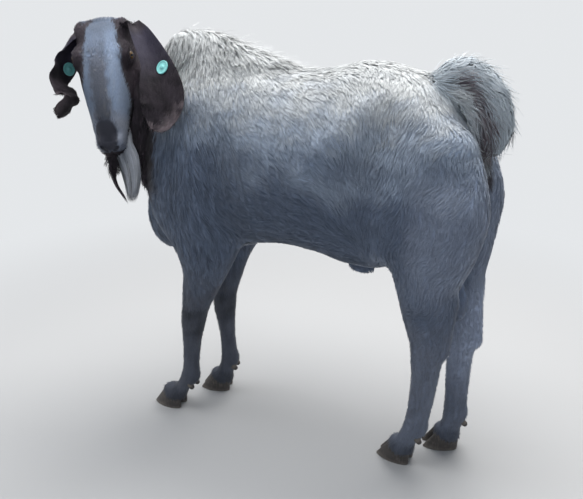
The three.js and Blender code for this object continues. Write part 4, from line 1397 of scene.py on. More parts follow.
@dataclass
class Blades:
    """Thin closed three-sided blades, each along its own line of points.

    Attributes:
        lines: tufts by knots by 3; the last knot is the tip.
        normals: tufts by knots by 3, out of the skin.
        width: the greatest width of each.
        tint: the colour of each at its root.
        spots: the place of each on the flat unwrap.
        lift: how much of the skin's own normal the shading takes.
        tilt: how far the shading turns out at the two edges.
        high: how far the ridge stands up, as a share of half the width.
        taper: shares of the length, and the share of the greatest width at each.
    """

    lines: Array
    normals: Array
    width: Array
    tint: Array
    spots: Array
    lift: float = 0.88
    tilt: float = 0.13
    high: float = 0.24
    taper: tuple[tuple[float, ...], tuple[float, ...]] = ((0, 0.33, 0.7, 1), (0.72, 1.0, 0.72, 0.0))

    @staticmethod
    def faces(knots: int) -> list[list[int]]:
        """The triangles of one blade: three sides from knot to knot, three at the tip and one at the root."""
        sides = [(i * 3 + j, i * 3 + (j + 1) % 3) for i in range(knots - 1) for j in range(3)]
        tube = [face for a, b in sides[:-3] for face in ([a, a + 3, b], [b, a + 3, b + 3])]
        return tube + [[a, (knots - 1) * 3, b] for a, b in sides[-3:]] + [[0, 1, 2]]

    def shell(self, rng: np.random.Generator) -> Shell:
        """The blades as one mesh.

        Across a blade at each knot but the tip stand a left, a right and a ridge point.
        """
        n, k = self.lines.shape[:2]
        t = np.linspace(0, 1, k)
        wide = np.interp(t, *self.taper)[None, :-1, None] * self.width[:, None, None] / 2
        along = unit(np.gradient(self.lines, axis=1))[:, :-1]
        at, normal = self.lines[:, :-1], self.normals[:, :-1]
        side = unit(np.cross(along, normal))
        roll = rng.normal(0, 0.16, (n, 1, 1))
        side = side * np.cos(roll) + normal * np.sin(roll)
        ridge = unit(np.cross(side, along))
        rows = np.stack([at - side * wide, at + side * wide, at + ridge * wide * self.high], 2)
        points = np.concatenate([rows.reshape(n, -1, 3), self.lines[:, -1:]], 1)
        tilt = np.array([-self.tilt, self.tilt, 0.0])[:, None]
        soft = normal[:, :, None] * self.lift + ridge[:, :, None] * (1 - self.lift) + side[:, :, None] * tilt
        tips = unit(self.normals[:, -1] + 0.3 * along[:, -1])[:, None]
        shading = np.concatenate([unit(soft).reshape(n, -1, 3), tips], 1)
        per = (k - 1) * 3 + 1
        whole = (np.arange(n)[:, None, None] * per + np.array(self.faces(k))[None]).reshape(-1, 3)
        share = np.append(np.repeat(t[:-1], 3), 1.0)
        # each blade's brightness varies at random, and painted shade darkens it a little towards its root
        bright = rng.normal(1.0, 0.05, (n, 1)) * (0.98 + 0.04 * share[None, :])
        tint = self.tint[:, None] * bright[..., None]
        patch = np.stack([np.append(np.tile([-1.0, 1.0, 0.0], k - 1), 0), 2 * share - 1], 1) * 0.0015
        spots = self.spots[:, None] + patch[None]
        return Shell(points.reshape(-1, 3), whole, {"tint": tint.reshape(-1, 3)}, spots.reshape(-1, 2),
                     shading.reshape(-1, 3))


@dataclass
class Fleece:
    """The tufts all over the goat, grown from its skin.

    Attributes:
        flesh: the body's form.
        marks: its colours.
        density: a factor on the number of tufts.
        most: the most triangles in one piece.
        floor: the level under which nothing grows.
        long: over this length, in millimetres, tufts have the most knots.
        short: up to this length they have the fewest, and stand straight.
        few: a group of fewer tufts is left out.
    """

    flesh: Flesh
    marks: Markings
    density: float
    most: int = 190_000
    floor: float = 17.0
    long: float = 30.0
    short: float = 12.0
    few: int = 40

    def roots(self, skin: Shell, coats: Array, rng: np.random.Generator) -> tuple[Array, Array, Array]:
        """Picks roots over the skin, one for each square of the coat's spacing.

        Args:
            skin: the skin, in triangles.
            coats: the coat's numbers at each of its points.
            rng: the source of chance.

        Returns:
            The roots, the skin's normals there, and for each root its triangle's three points.
        """
        normals, area = normals_of(skin.points, skin.faces)
        spacing = coats[skin.faces, 3].mean(1)
        due = np.cumsum(area / spacing**2 * self.density)
        picks = np.arange(0.5, due[-1])
        face = np.searchsorted(due, picks).clip(0, len(due) - 1)
        a, b = rng.random((2, len(face)))
        fold = a + b > 1
        a, b = np.where(fold, 1 - a, a), np.where(fold, 1 - b, b)
        share = np.stack([1 - a - b, a, b], 1)
        corner = skin.faces[face]
        at = (skin.points[corner] * share[..., None]).sum(1)
        normal = unit((normals[corner] * share[..., None]).sum(1))
        return at, normal, corner

    def walk(self, root: Array, way: Array, coat: Array, loft: Array, knots: int) -> Pair:
        """Carries tufts along the body, rising from the skin to the coat's tips as they go.

        At each knot a tuft takes a step along its way and is moved along the slope to its level, which rises
        with the share of the way to the power 0.75. The loft lifts loose tips further.
        """
        p = root
        d, slope = self.flesh.slope(p)
        lines, normals, depth = [p], [unit(slope)], -d
        for share in np.arange(1, knots) / (knots - 1):
            way = flat(way, unit(self.flesh.slope(p)[1]))
            p = p + way * coat[:, 1:2] / (knots - 1)
            d, slope = self.flesh.slope(p)
            rate = np.maximum((slope**2).sum(1), 0.3)
            level = -depth * (1 - 0.97 * share**0.75)
            level += share * 0.16 * coat[:, 0] * ripple(p, 26, 11, 6) + share**2 * loft
            p = p - ((d - level) / rate).clip(-14, 14)[:, None] * slope
            lines.append(p)
            normals.append(unit(slope))
        return np.stack(lines, 1), np.stack(normals, 1)

    def straight(self, root: Array, normal: Array, way: Array, coat: Array, knots: int) -> Pair:
        """Short tufts: a slightly bowed line from the skin to the coat's depth."""
        t = np.linspace(0, 1, knots)[None, :, None]
        forth, out = (way * coat[:, 1:2])[:, None], (normal * coat[:, :1])[:, None]
        return root[:, None] + forth * t + out * t**0.8, np.repeat(normal[:, None], knots, 1)

    def gathered(self, lines: Array, coat: Array, rng: np.random.Generator) -> Array:
        """Draws tips together into locks: each line turns by a share towards its lock's leader."""
        lock = coat[:, 4].mean()
        cell = np.floor(lines[:, 0] / lock + rng.random(3)).astype(int)
        key = cell @ np.array([73856093, 19349663, 83492791])
        _, first, member = np.unique(key, return_index=True, return_inverse=True)
        leader = lines[first[member.ravel()]]
        t = np.linspace(0, 1, lines.shape[1])[None, :, None]
        return lines + (leader - lines) * coat[:, None, 5:6] * t**1.3

    def planted(self, skin: Shell, rng: np.random.Generator) -> tuple[Array, Array, Array]:
        """The roots that are kept, with the skin's normals and whether each is on an ear.

        None is kept on bare skin, on the hooves or in an eye.
        """
        weights = self.flesh.weights(skin.points)
        coats = self.flesh.coats(skin.points, weights)
        on_ear = skin.values["ear"][:, 0] > 0.5
        coats[on_ear] = EAR_COAT.row()
        root, normal, corner = self.roots(skin, coats, rng)
        ear = on_ear[corner].mean(1) > 0.5
        keep = rng.random(len(root)) > self.marks.bare(root)
        keep &= root[:, 2] > self.floor
        for side in (-1, 1):
            keep &= np.linalg.norm(FACE.eye_view(root, side), axis=1) > FACE.radius + 0.6
        return root[keep], normal[keep], ear[keep]

    def dress(self, root: Array, normal: Array, ear: Array, rng: np.random.Generator) -> dict[str, Array]:
        """Works out what the tuft on each root is like.

        Args:
            root: the roots.
            normal: the skin's normals there.
            ear: whether each is on an ear.
            rng: the source of chance.

        Returns:
            Arrays of as many rows: root, normal, way, coat, loft, tint, the region's number as home, and the
            spot on the flat unwrap.
        """
        weights = self.flesh.weights(root)
        coat = self.flesh.coats(root, weights)
        coat[ear] = EAR_COAT.row()
        main = weights.argmax(1)
        regions = list(Region)
        home = np.array([regions.index(form.region) for form in self.flesh.forms])[main]
        home[ear] = regions.index(Region.EARS)
        way = self.flesh.lies(root, weights)
        tint = self.marks.tint(root)
        spots = np.zeros((len(root), 2))
        for i, form in enumerate(self.flesh.forms):
            mine = (main == i) & ~ear
            if mine.any():
                spots[mine] = form.around(root[mine]) + [i, 0]
        for i, (one, mine) in enumerate(ears_of(root, ear)):
            along, across, deep, forth, hollow = one.view(root[mine])
            way[mine] = forth + 0.25 * np.sign(across)[:, None] * np.cross(hollow, forth)
            tint[mine] = ear_tint(one, root[mine], along, across, deep)
            coat[mine, 1] *= 1 - 0.65 * ease(np.abs(across), 0.82, 0.98)
            spots[mine] = np.stack([(across.clip(-1, 1) + 1) / 4 + 0.5 * (deep > 0) + i, along], 1)
        coat[:, 1] *= rng.uniform(0.72, 1.18, len(root))
        names = np.array([form.name for form in self.flesh.forms])[main]
        wild = np.isin(names, ["crest", "tail", "tail fringe"])
        loose = rng.random(len(root)) < 0.06 + 0.12 * ease(coat[:, 1], 32, 48) + 0.2 * wild
        lift = rng.uniform(1.5, 6.0, len(root)) * ((coat[:, 1] - 22) / 14).clip(0, 2.4)
        loft = loose * lift * (1 + 1.35 * wild)
        coat[:, 2] *= rng.uniform(0.65, 1.25, len(root)) * np.where(loose, 0.5, 1)
        angle = np.radians(coat[:, 6]) * rng.normal(0, 0.7, len(root)) + 0.22 * ripple(root, 46, 8)
        flank = ease(root[:, 0], 150, 210) * ease(root[:, 2], 800, 740)
        angle += 0.45 * flank * ripple(root, (64, 64, 52), 34)
        way = turned(flat(way, normal), normal, angle)
        return {"root": root, "normal": normal, "way": way, "coat": coat, "loft": loft, "tint": tint,
                "home": home, "spot": spots}

    def lines(self, tufts: dict[str, Array], region: Region, knots: int,
              rng: np.random.Generator) -> Pair:
        """A group's lines and normals: straight where short and on the head, else along the body."""
        root, normal, way, coat, loft = (tufts[key] for key in ("root", "normal", "way", "coat", "loft"))
        if knots == 3 or region in DARK_REGIONS:
            lines, normals = self.straight(root, normal, way, coat, knots)
        else:
            lines, normals = self.walk(root, way, coat, loft, knots)
        lines = self.gathered(lines, coat, rng)
        lines[:, 0] -= normals[:, 0] * 0.8
        return lines, normals

    def grow(self, skin: Shell, finish: dict[Region, Material]) -> list[tuple[Object, Region]]:
        """Grows every region's tufts and makes their pieces.

        Args:
            skin: the skin with its ears marked.
            finish: the material of each region's tufts.

        Returns:
            The pieces and their regions.
        """
        rng = np.random.default_rng(SEED)
        tufts = self.dress(*self.planted(skin, rng), rng)
        length = tufts["coat"][:, 1]
        pieces: list[tuple[Object, Region]] = []
        for number, region in enumerate(Region):
            mine = tufts["home"] == number
            for low, high, knots in ((self.long, math.inf, 6), (self.short, self.long, 4), (0, self.short, 3)):
                chosen = np.flatnonzero(mine & (length > low) & (length <= high))
                if len(chosen) < self.few:
                    continue
                group = {key: value[chosen] for key, value in tufts.items()}
                lines, normals = self.lines(group, region, knots, rng)
                per = (knots - 2) * 6 + 4
                order = np.argsort(group["root"][:, 0] + 0.6 * group["root"][:, 2] * (region is Region.LEGS))
                for part in np.array_split(order, math.ceil(len(chosen) * per / self.most)):
                    spot = group["spot"][part]
                    low_spot, high_spot = spot.min(0), spot.max(0)
                    even = 0.03 + 0.94 * (spot - low_spot) / np.maximum(high_spot - low_spot, 1e-6)
                    width, tint = group["coat"][part, 2], group["tint"][part]
                    blades = Blades(lines[part], normals[part], width, tint, even)
                    name = f"coat_{region.value}_{len(pieces) + 1}"
                    pieces.append((blades.shell(rng).build(name, finish[region]), region))
                    LOG.info("%s: %d tufts, %d triangles", name, len(part), len(part) * per)
        return pieces


def ear_tint(ear: Ear, p: Array, along: Array, across: Array, deep: Array) -> Array:
    """The colour of an ear: dark with a painted cool sheen near its root, paler in the hollow, with a pale rim
    along its rear edge near the tip.
    """
    fray = 0.05 * ripple(p, 16, 16)
    rim = ease(along + fray, 0.62, 0.84) * ease(across * ear.side + fray, 0.15, 0.9)
    tip = 0.6 * ease(along + fray, 0.88, 0.99) * (ear.side > 0)
    return mixed(
        CHOCOLATE * 0.7, (CHOCOLATE * 1.5, 0.5 + 0.5 * ripple(p, 24, 15)),
        # painted sheen: a cool, paler band on the ear near its root
        (CHOCOLATE * np.array([2.2, 2.6, 3.6]), 0.5 * ease(along, 0.05, 0.14) * ease(along, 0.5, 0.2)),
        (PALE_SKIN * 0.3, 0.5 * ease(deep, -0.5, 1.5) * ease(np.abs(across), 0.95, 0.5)),
        (PALE_SKIN * 0.62, (0.75 if ear.side > 0 else 0.3) * np.maximum(rim, tip)))


# ---- the beard
@dataclass
class Beard:
    """A bunch of long wavy locks that hangs from the chin.

    Attributes:
        rows: centre, half across, half above and half below.
        tone: its colour.
        count: how many locks.
        width: of a lock.
        dark: the share of dark locks, all over and besides that at its edges.
        knots: points along a lock.
    """

    rows: list[list[float]] = field(default_factory=lambda: BEARD)
    tone: Sequence[float] = (0.40, 0.43, 0.49)
    count: int = 1250
    width: float = 1.9
    dark: tuple[float, float] = (0.03, 0.22)
    knots: int = 9

    def blades(self) -> Blades:
        """Locks that fill the column of rows: each keeps its place in the narrowing section, and waves."""
        rng = np.random.default_rng(SEED + self.count)
        rows = numbered(self.rows)
        reach = rng.uniform(0.55, 1.0, self.count) ** 0.6
        t = np.linspace(0, 1, self.knots)[None] * reach[:, None] * (len(rows) - 1)
        path = course(rows, t)[..., 1:]
        f = heading(rows, t, 0.1)
        side = unit(np.cross(np.array([0, 1, 0.2]), f))
        top = np.cross(f, side)
        a = rng.uniform(0, 2 * math.pi, (self.count, 1))
        r = np.sqrt(rng.uniform(0.02, 0.92, (self.count, 1)))
        k = np.linspace(0, 1, self.knots)[None]
        phase = rng.uniform(0, 2 * math.pi, (self.count, 1))
        size = path[..., 3] / path[..., 3].max()
        wild = np.where(rng.random((self.count, 1)) < 0.12, 2.2, 1.0) * (0.3 + 0.7 * size)
        wave = wild * (3.0 * k * np.sin(2 * math.pi * 1.7 * k + phase) + 5.5 * k**2 * np.sin(3 * phase))
        spread = r * (1.08 + 0.1 * (k * reach[:, None]) ** 2)
        across = path[..., 3] * spread * np.cos(a) + wave
        above = path[..., 4] * spread * np.sin(a) * 0.8 + 0.6 * wave
        lines = path[..., :3] + side * across[..., None] + top * above[..., None]
        out = unit(side * np.cos(a)[..., None] + top * np.sin(a)[..., None])
        chance = self.dark[0] + self.dark[1] * ease(np.cos(a[:, 0]), 0.75, 1.0)
        dark = 0.9 * (rng.random(self.count) < chance)
        tint = mixed(np.array(self.tone), (CHOCOLATE, dark))
        tint = tint * (rng.normal(1, 0.12, (self.count, 1)) + 0.14 * np.sin(5 * a + 9 * r))
        spots = np.stack([a[:, 0] / (2 * math.pi), r[:, 0] ** 2], 1) * 0.9 + 0.05
        return Blades(lines, out, self.width * rng.uniform(0.6, 1.2, self.count), tint, spots, lift=0.6)


# ---- hooves, eyes and tags
@dataclass
class Hoof:
    """One foot's claws and dewclaws, in millimetres.

    Attributes:
        leg: which leg it ends.
        front: from the foot's point to the toe.
        back: from it to the heel.
        half: half the width of a claw.
        toe: the wall's height in front.
        heel: its height behind.
        slope: how far the wall leans back from floor to coronet.
        cleft: from the foot's middle line to a claw.
        taper: how much narrower the toe is, as a share.
        toe_in: how far the toe turns to the middle line.
        peg: a dewclaw's level, place across, radius and length.
    """

    leg: str
    front: float = 54
    back: float = 24
    half: float = 12.5
    toe: float = 43
    heel: float = 27
    slope: float = 30
    cleft: float = 1.2
    taper: float = 0.3
    toe_in: float = 2.2
    peg: tuple[float, float, float, float] = (76, 12, 6.8, 6)

    def turn(self) -> tuple[Array, Array, Array]:
        """The foot's place on the floor, and the ways back and across."""
        x, y, yaw = FEET[self.leg]
        return np.array([x, y, 0.0]), *foot_ways(yaw)

    def claw(self, side: int) -> Shell:
        """A claw: ovals from the sole up to the coronet, sharp to the toe, with rings on its wall."""
        at, back, across = self.turn()
        t = np.concatenate([[0, 0.02, 0.06], np.linspace(0.12, 1, 20)])[:, None]
        a = circle(40)[None]
        c, s = np.cos(a), np.sin(a)
        toe = self.front - self.slope * t
        bevel = 1 - 0.045 * ease(t, 0.06, 0.0)
        long = (toe + self.back) / 2 * bevel
        growth = 0.32 * np.sin(t * 34 + 0.8 * c) * ease(t, 0.05, 0.2)
        half = self.half * (1 + 0.06 * np.sin(math.pi * t)) * bevel + growth
        forward = np.maximum(c, 0) ** 2
        top = (self.toe + self.heel + (self.toe - self.heel) * c) / 2
        x = (self.back - toe) / 2 - c * (long + growth)
        y = side * (self.half + self.cleft - self.toe_in * forward) + s * half * (1 - self.taper * forward)
        y = side * np.maximum(side * y, self.cleft)
        z = top * t + 0 * a
        grid = at + np.stack([x, y, z], -1) @ np.array([back, across, UPRIGHT[2]])
        return outward(closed_tube(grid, {"level": np.broadcast_to(t, z.shape)[..., None]}))

    def dewclaw(self, side: int) -> Shell:
        """A dewclaw: a blunt peg of horn that points back and down."""
        _, back, across = self.turn()
        level, apart, radius, long = self.peg
        row = course(table(LEGS[self.leg]), np.array([level]))[0]
        way = unit(back - 1.1 * UPRIGHT[2])
        root = np.array([row[1], row[2], level]) + back * (row[3] - 4) + across * side * apart
        t = np.linspace(-0.98, 1, 18)[:, None]
        a = circle(20)[None]
        r = radius * np.sqrt(np.clip(1 - t**4, 0, 1)) * (1 - 0.14 * t) + 0.15 * np.sin(t * 17)
        places = np.stack([(long / 2 + radius) * t + 0 * a, r * np.cos(a), r * np.sin(a)], -1)
        grid = root + places @ np.array([way, across, np.cross(way, across)])
        return outward(closed_tube(grid, {"level": np.broadcast_to(t, grid.shape[:2])[..., None]}))


@dataclass
class Eye:
    """An eyeball with a raised cornea, its iris and level pupil read from its own flat view."""

    side: int
    rings: int = 64
    around: int = 72

    def shell(self) -> Shell:
        """A ball about the gaze; within 42 degrees of it the radius grows by a bell of 0.9 mm."""
        at, axes = FACE.eye_axes(self.side)
        polar = (np.linspace(0, 1, self.rings) ** 1.25 * 0.985 * math.pi)[:, None] + 0.012
        a = circle(self.around)[None]
        r = FACE.radius - 0.4 + 0.9 * bump(polar, 0, 0.36)
        u, v, w = np.sin(polar) * np.cos(a), np.sin(polar) * np.sin(a), np.cos(polar) + 0 * a
        grid = at + r[..., None] * (np.stack([u, v, w], -1) @ axes)
        level = unit(np.cross(axes[2], UPRIGHT[2]))
        c, s = level @ axes[0], level @ axes[1]
        along, over = u * c + v * s, v * c - u * s
        return outward(closed_tube(grid, {"look": np.stack([along, over, w], -1)}))


@dataclass
class Tag:
    """A round ear tag: a disc with a raised rim and a domed boss on each face of the ear, joined by a pin.

    Attributes:
        ear: the ear that it sits in.
        thick: the height of a disc.
        face: from the middle of the ear to a disc.
    """

    ear: Ear
    thick: float = 2.4
    face: float = 3.0

    def shell(self) -> Shell:
        """A profile of radius and height turned about the ear's own normal."""
        c, half, cup, w, n = (part[0] for part in self.ear.blade(np.array([self.ear.tag])))
        share = self.ear.tag_across
        axis = unit(n + w * 2 * cup * share / half)
        middle = c + w * half * share + n * (cup * (1 - share**2) - cup / 2)
        top = self.face + self.thick
        outer = [(0.3, top + 0.5), (2.6, top + 0.4), (3.4, top - 0.2), (3.9, top - 0.9), (10.6, top - 0.9),
                 (11.2, top - 0.5), (12.2, top - 0.1), (13.1, top - 0.3), (13.5, top - 0.9),
                 (13.5, self.face + 0.5), (13.0, self.face), (2.8, self.face - 0.1), (2.6, self.face - 0.6)]
        profile = np.array(outer + [(r, -h) for r, h in outer[::-1]])
        a = circle(56)[None, :, None]
        first = unit(np.cross(axis, [0.3, 0.2, 1.0]))
        second = np.cross(axis, first)
        ring = np.cos(a) * first + np.sin(a) * second
        grid = middle + profile[:, None, :1] * ring + profile[:, None, 1:] * axis
        return outward(closed_tube(grid, {"rim": np.broadcast_to(profile[:, :1], grid.shape[:2])[..., None]}))


# ---- finishes
class Value:
    """A number that varies over a surface: a socket whose arithmetic adds Math nodes."""

    def __init__(self, finish: "Nodes", socket: Socket) -> None:
        """Wraps a socket of a material that is being made."""
        self.finish = finish
        self.socket = socket

    def _math(self, operation: str, *parts: object) -> "Value":
        """A Math node with that operation on values or numbers."""
        node = self.finish.node("ShaderNodeMath", {"operation": operation}, dict(enumerate(parts)))
        return Value(self.finish, node.outputs[0])

    def __add__(self, other: object) -> "Value":
        """This plus another."""
        return self._math("ADD", self, other)

    def __sub__(self, other: object) -> "Value":
        """This less another."""
        return self._math("SUBTRACT", self, other)

    def __rsub__(self, other: object) -> "Value":
        """Another less this."""
        return self._math("SUBTRACT", other, self)

    def __mul__(self, other: object) -> "Value":
        """This times another."""
        return self._math("MULTIPLY", self, other)

    def __truediv__(self, other: object) -> "Value":
        """This over another."""
        return self._math("DIVIDE", self, other)

    def __pow__(self, other: object) -> "Value":
        """This to the power of another."""
        return self._math("POWER", self, other)

    __radd__ = __add__
    __rmul__ = __mul__

    def size(self) -> "Value":
        """This without its sign."""
        return self._math("ABSOLUTE", self)

    def step(self, low: float, high: float) -> "Value":
        """A smooth step from 0 at low to 1 at high."""
        node = self.finish.node("ShaderNodeMapRange", {"interpolation_type": "SMOOTHSTEP"},
                                {"Value": self, "From Min": low, "From Max": high})
        return Value(self.finish, node.outputs[0])


class Nodes:
    """The nodes of one material, or of the world, while it is made."""

    def __init__(self, owner: Material | bpy.types.World, shader: str = "Principled BSDF") -> None:
        """Starts with the one shader that a new material or world has."""
        owner.use_nodes = True
        self.owner, self.tree = owner, owner.node_tree
        self.shader = self.tree.nodes[shader]

    def node(self, kind: str, settings: dict[str, object], values: dict[int | str, object]) -> bpy.types.Node:
        """Adds a node.

        Args:
            kind: its type.
            settings: its own properties, set first.
            values: values, sockets or Values for its inputs, by name or number.

        Returns:
            The node.
        """
        node = self.tree.nodes.new(kind)
        for key, setting in settings.items():
            setattr(node, key, setting)
        for key, value in values.items():
            self.feed(node.inputs[key], value)
        return node

    def feed(self, socket: Socket, value: object) -> None:
        """Links a Value or a socket to an input, or sets the number on it."""
        if isinstance(value, Value):
            value = value.socket
        if isinstance(value, Socket):
            self.tree.links.new(value, socket)
        else:
            socket.default_value = value

    def attribute(self, name: str) -> bpy.types.Node:
        """The Attribute node of a named value."""
        return self.node("ShaderNodeAttribute", {"attribute_name": name}, {})

    def number(self, name: str) -> Value:
        """A named value of one column."""
        return Value(self, self.attribute(name).outputs["Fac"])

    def noise(self, scale: float, detail: float = 2, stretch: Sequence[float] = (1, 1, 1)) -> Value:
        """Noise of that many ripples to a metre on Object coordinates."""
        at = self.node("ShaderNodeTexCoord", {}, {})
        way = self.node("ShaderNodeMapping", {}, {"Vector": at.outputs["Object"], "Scale": stretch})
        sockets = {"Vector": way.outputs[0], "Scale": scale, "Detail": detail}
        grain = self.node("ShaderNodeTexNoise", {}, sockets)
        return Value(self, grain.outputs["Fac"])

    def dimmed(self, colour: object, factor: Value) -> Socket:
        """A colour times a value."""
        node = self.node("ShaderNodeVectorMath", {"operation": "SCALE"}, {0: colour, "Scale": factor})
        return node.outputs[0]

    def blended(self, a: object, b: object, share: Value) -> Socket:
        """Colour a turned into colour b by a share."""
        node = self.node("ShaderNodeMix", {"data_type": "RGBA"}, {0: share, 6: a, 7: b})
        return node.outputs[2]

    def bumped(self, height: Value, distance: float, strength: float = 1.0) -> Socket:
        """A Bump node's normal for a height."""
        node = self.node("ShaderNodeBump", {}, {"Height": height, "Distance": distance, "Strength": strength})
        return node.outputs[0]

    def shade(self, **inputs: object) -> Material:
        """Sets the shader's inputs, by their names with spaces for underscores, and gives the material."""
        for key, value in inputs.items():
            self.feed(self.shader.inputs[key.replace("_", " ")], value)
        return self.owner

    def in_view(self) -> Value:
        """1 for what is seen straight or in a gloss, 0 for what only lights."""
        rays = self.node("ShaderNodeLightPath", {}, {})
        return Value(self, rays.outputs["Is Camera Ray"]) + Value(self, rays.outputs["Is Glossy Ray"])

    def overlaid(self, share: Value, light: bpy.types.Node, output: str) -> None:
        """Mixes a light over the shader by a share, and gives both to the output."""
        mix = self.node("ShaderNodeMixShader", {}, {0: share, 1: self.shader.outputs[0], 2: light.outputs[0]})
        self.feed(self.tree.nodes[output].inputs["Surface"], mix.outputs[0])


def rgba(colour: Sequence[float]) -> tuple[float, float, float, float]:
    """A colour with full cover."""
    return (*map(float, colour), 1.0)


@dataclass(frozen=True)
class HairFinish:
    """The tufts: their own tint, with a fine grain."""

    name: str
    roughness: float = 0.62
    sheen: float = 0.10
    gloss: float = 0.2
    glow: float = 0.45

    def material(self) -> Material:
        """Makes the material."""
        n = Nodes(bpy.data.materials.new(self.name))
        tint = n.dimmed(n.attribute("tint").outputs["Vector"], n.noise(420, 3) * 0.30 + 0.85)
        return n.shade(Base_Color=tint, Roughness=self.roughness,
                       Specular_IOR_Level=self.gloss, Sheen_Weight=self.sheen, Sheen_Roughness=0.5,
                       Subsurface_Weight=self.glow, Subsurface_Radius=(1, 1, 1), Subsurface_Scale=0.004)


@dataclass(frozen=True)
class SkinFinish:
    """The skin under the coat: the same tint, the grain of short hair, and a moist nose."""

    name: str = "skin"
    roughness: float = 0.7

    def material(self) -> Material:
        """Makes the material."""
        n = Nodes(bpy.data.materials.new(self.name))
        bare = n.number("bare")
        grain = n.noise(560, 3)
        pores = n.noise(900, 2)
        height = grain * (1 - bare) + pores * bare * 0.7
        tint = n.dimmed(n.attribute("tint").outputs["Vector"], grain * 0.3 + 0.85)
        return n.shade(Base_Color=tint, Roughness=self.roughness - bare * 0.2, Specular_IOR_Level=0.2,
                       Normal=n.bumped(height, 0.0009, 0.6))


@dataclass(frozen=True)
class HornFinish:
    """Dark horn, worn paler at the sole's edge, with upright streaks."""

    name: str = "hoof horn"
    colour: Triple = (0.050, 0.043, 0.040)
    worn: Triple = (0.20, 0.175, 0.15)

    def material(self) -> Material:
        """Makes the material."""
        n = Nodes(bpy.data.materials.new(self.name))
        level = n.number("level")
        streaks = n.noise(260, 2, (1, 1, 0.12))
        mud = n.noise(75, 4)
        soil = streaks.step(0.52, 0.75) * 0.25 + mud.step(0.5, 0.72) * 0.3
        share = (1 - level.step(0.0, 0.35)) * 0.6 + soil
        return n.shade(Base_Color=n.blended(rgba(self.colour), rgba(self.worn), share),
                       Roughness=mud * 0.3 + 0.42, Normal=n.bumped(streaks + mud * 0.5, 0.0006, 0.5))


@dataclass(frozen=True)
class EyeFinish:
    """A goat's eye: an amber iris, a level bar of a pupil and a dark rim of white."""

    name: str = "eye"
    iris: Triple = (0.19, 0.105, 0.03)
    white: Triple = (0.035, 0.024, 0.02)
    rim: Triple = (0.012, 0.009, 0.008)
    pupil: Triple = (0.006, 0.006, 0.007)

    def material(self) -> Material:
        """Makes the material."""
        n = Nodes(bpy.data.materials.new(self.name))
        look = n.node("ShaderNodeSeparateXYZ", {}, {0: n.attribute("look").outputs["Vector"]})
        x, y, z = (Value(n, look.outputs[i]) for i in range(3))
        r = (x * x + y * y) ** 0.5
        fibres = n.noise(900, 3)
        veins = r.step(0.62, 0.30) * 0.6 + fibres * 0.5
        iris = n.blended(rgba(c * 0.35 for c in self.iris), rgba(self.iris), veins)
        ball = n.blended(iris, rgba(self.white), r.step(0.60, 0.66))
        ring = n.blended(ball, rgba(self.rim), (1 - (r - 0.62).size().step(0.01, 0.06)) * 0.8)
        bar = ((x / 0.42) ** 2.0 * (x / 0.42) ** 2.0 + (y / 0.17) ** 2.0).step(1.12, 0.9)
        front = z.step(0.0, 0.1)
        return n.shade(Base_Color=n.blended(ring, rgba(self.pupil), bar * front), Roughness=0.16,
                       Specular_IOR_Level=0.3)


@dataclass(frozen=True)
class TagFinish:
    """Pale blue-green plastic, a little soiled."""

    name: str = "tag plastic"
    colour: Triple = (0.22, 0.62, 0.60)
    dirt: Triple = (0.16, 0.25, 0.24)

    def material(self) -> Material:
        """Makes the material."""
        n = Nodes(bpy.data.materials.new(self.name))
        soil = n.noise(160, 3).step(0.55, 0.8) * 0.35
        return n.shade(Base_Color=n.blended(rgba(self.colour), rgba(self.dirt), soil), Roughness=0.38)


# ---- the studio
# name, place, width, power and colour of each lamp
LAMPS = (
    ("key", (0.5, 1.2, 2.9), 2.2, 76, (1.0, 0.99, 0.97)),
    ("top", (-0.3, -0.2, 3.1), 2.0, 68, (1.0, 1.0, 1.0)),
    ("fill", (1.4, -3.0, 1.9), 2.6, 17, (0.82, 0.90, 1.0)),
    ("side", (-3.0, -0.9, 1.7), 1.8, 16, (0.92, 0.96, 1.0)))


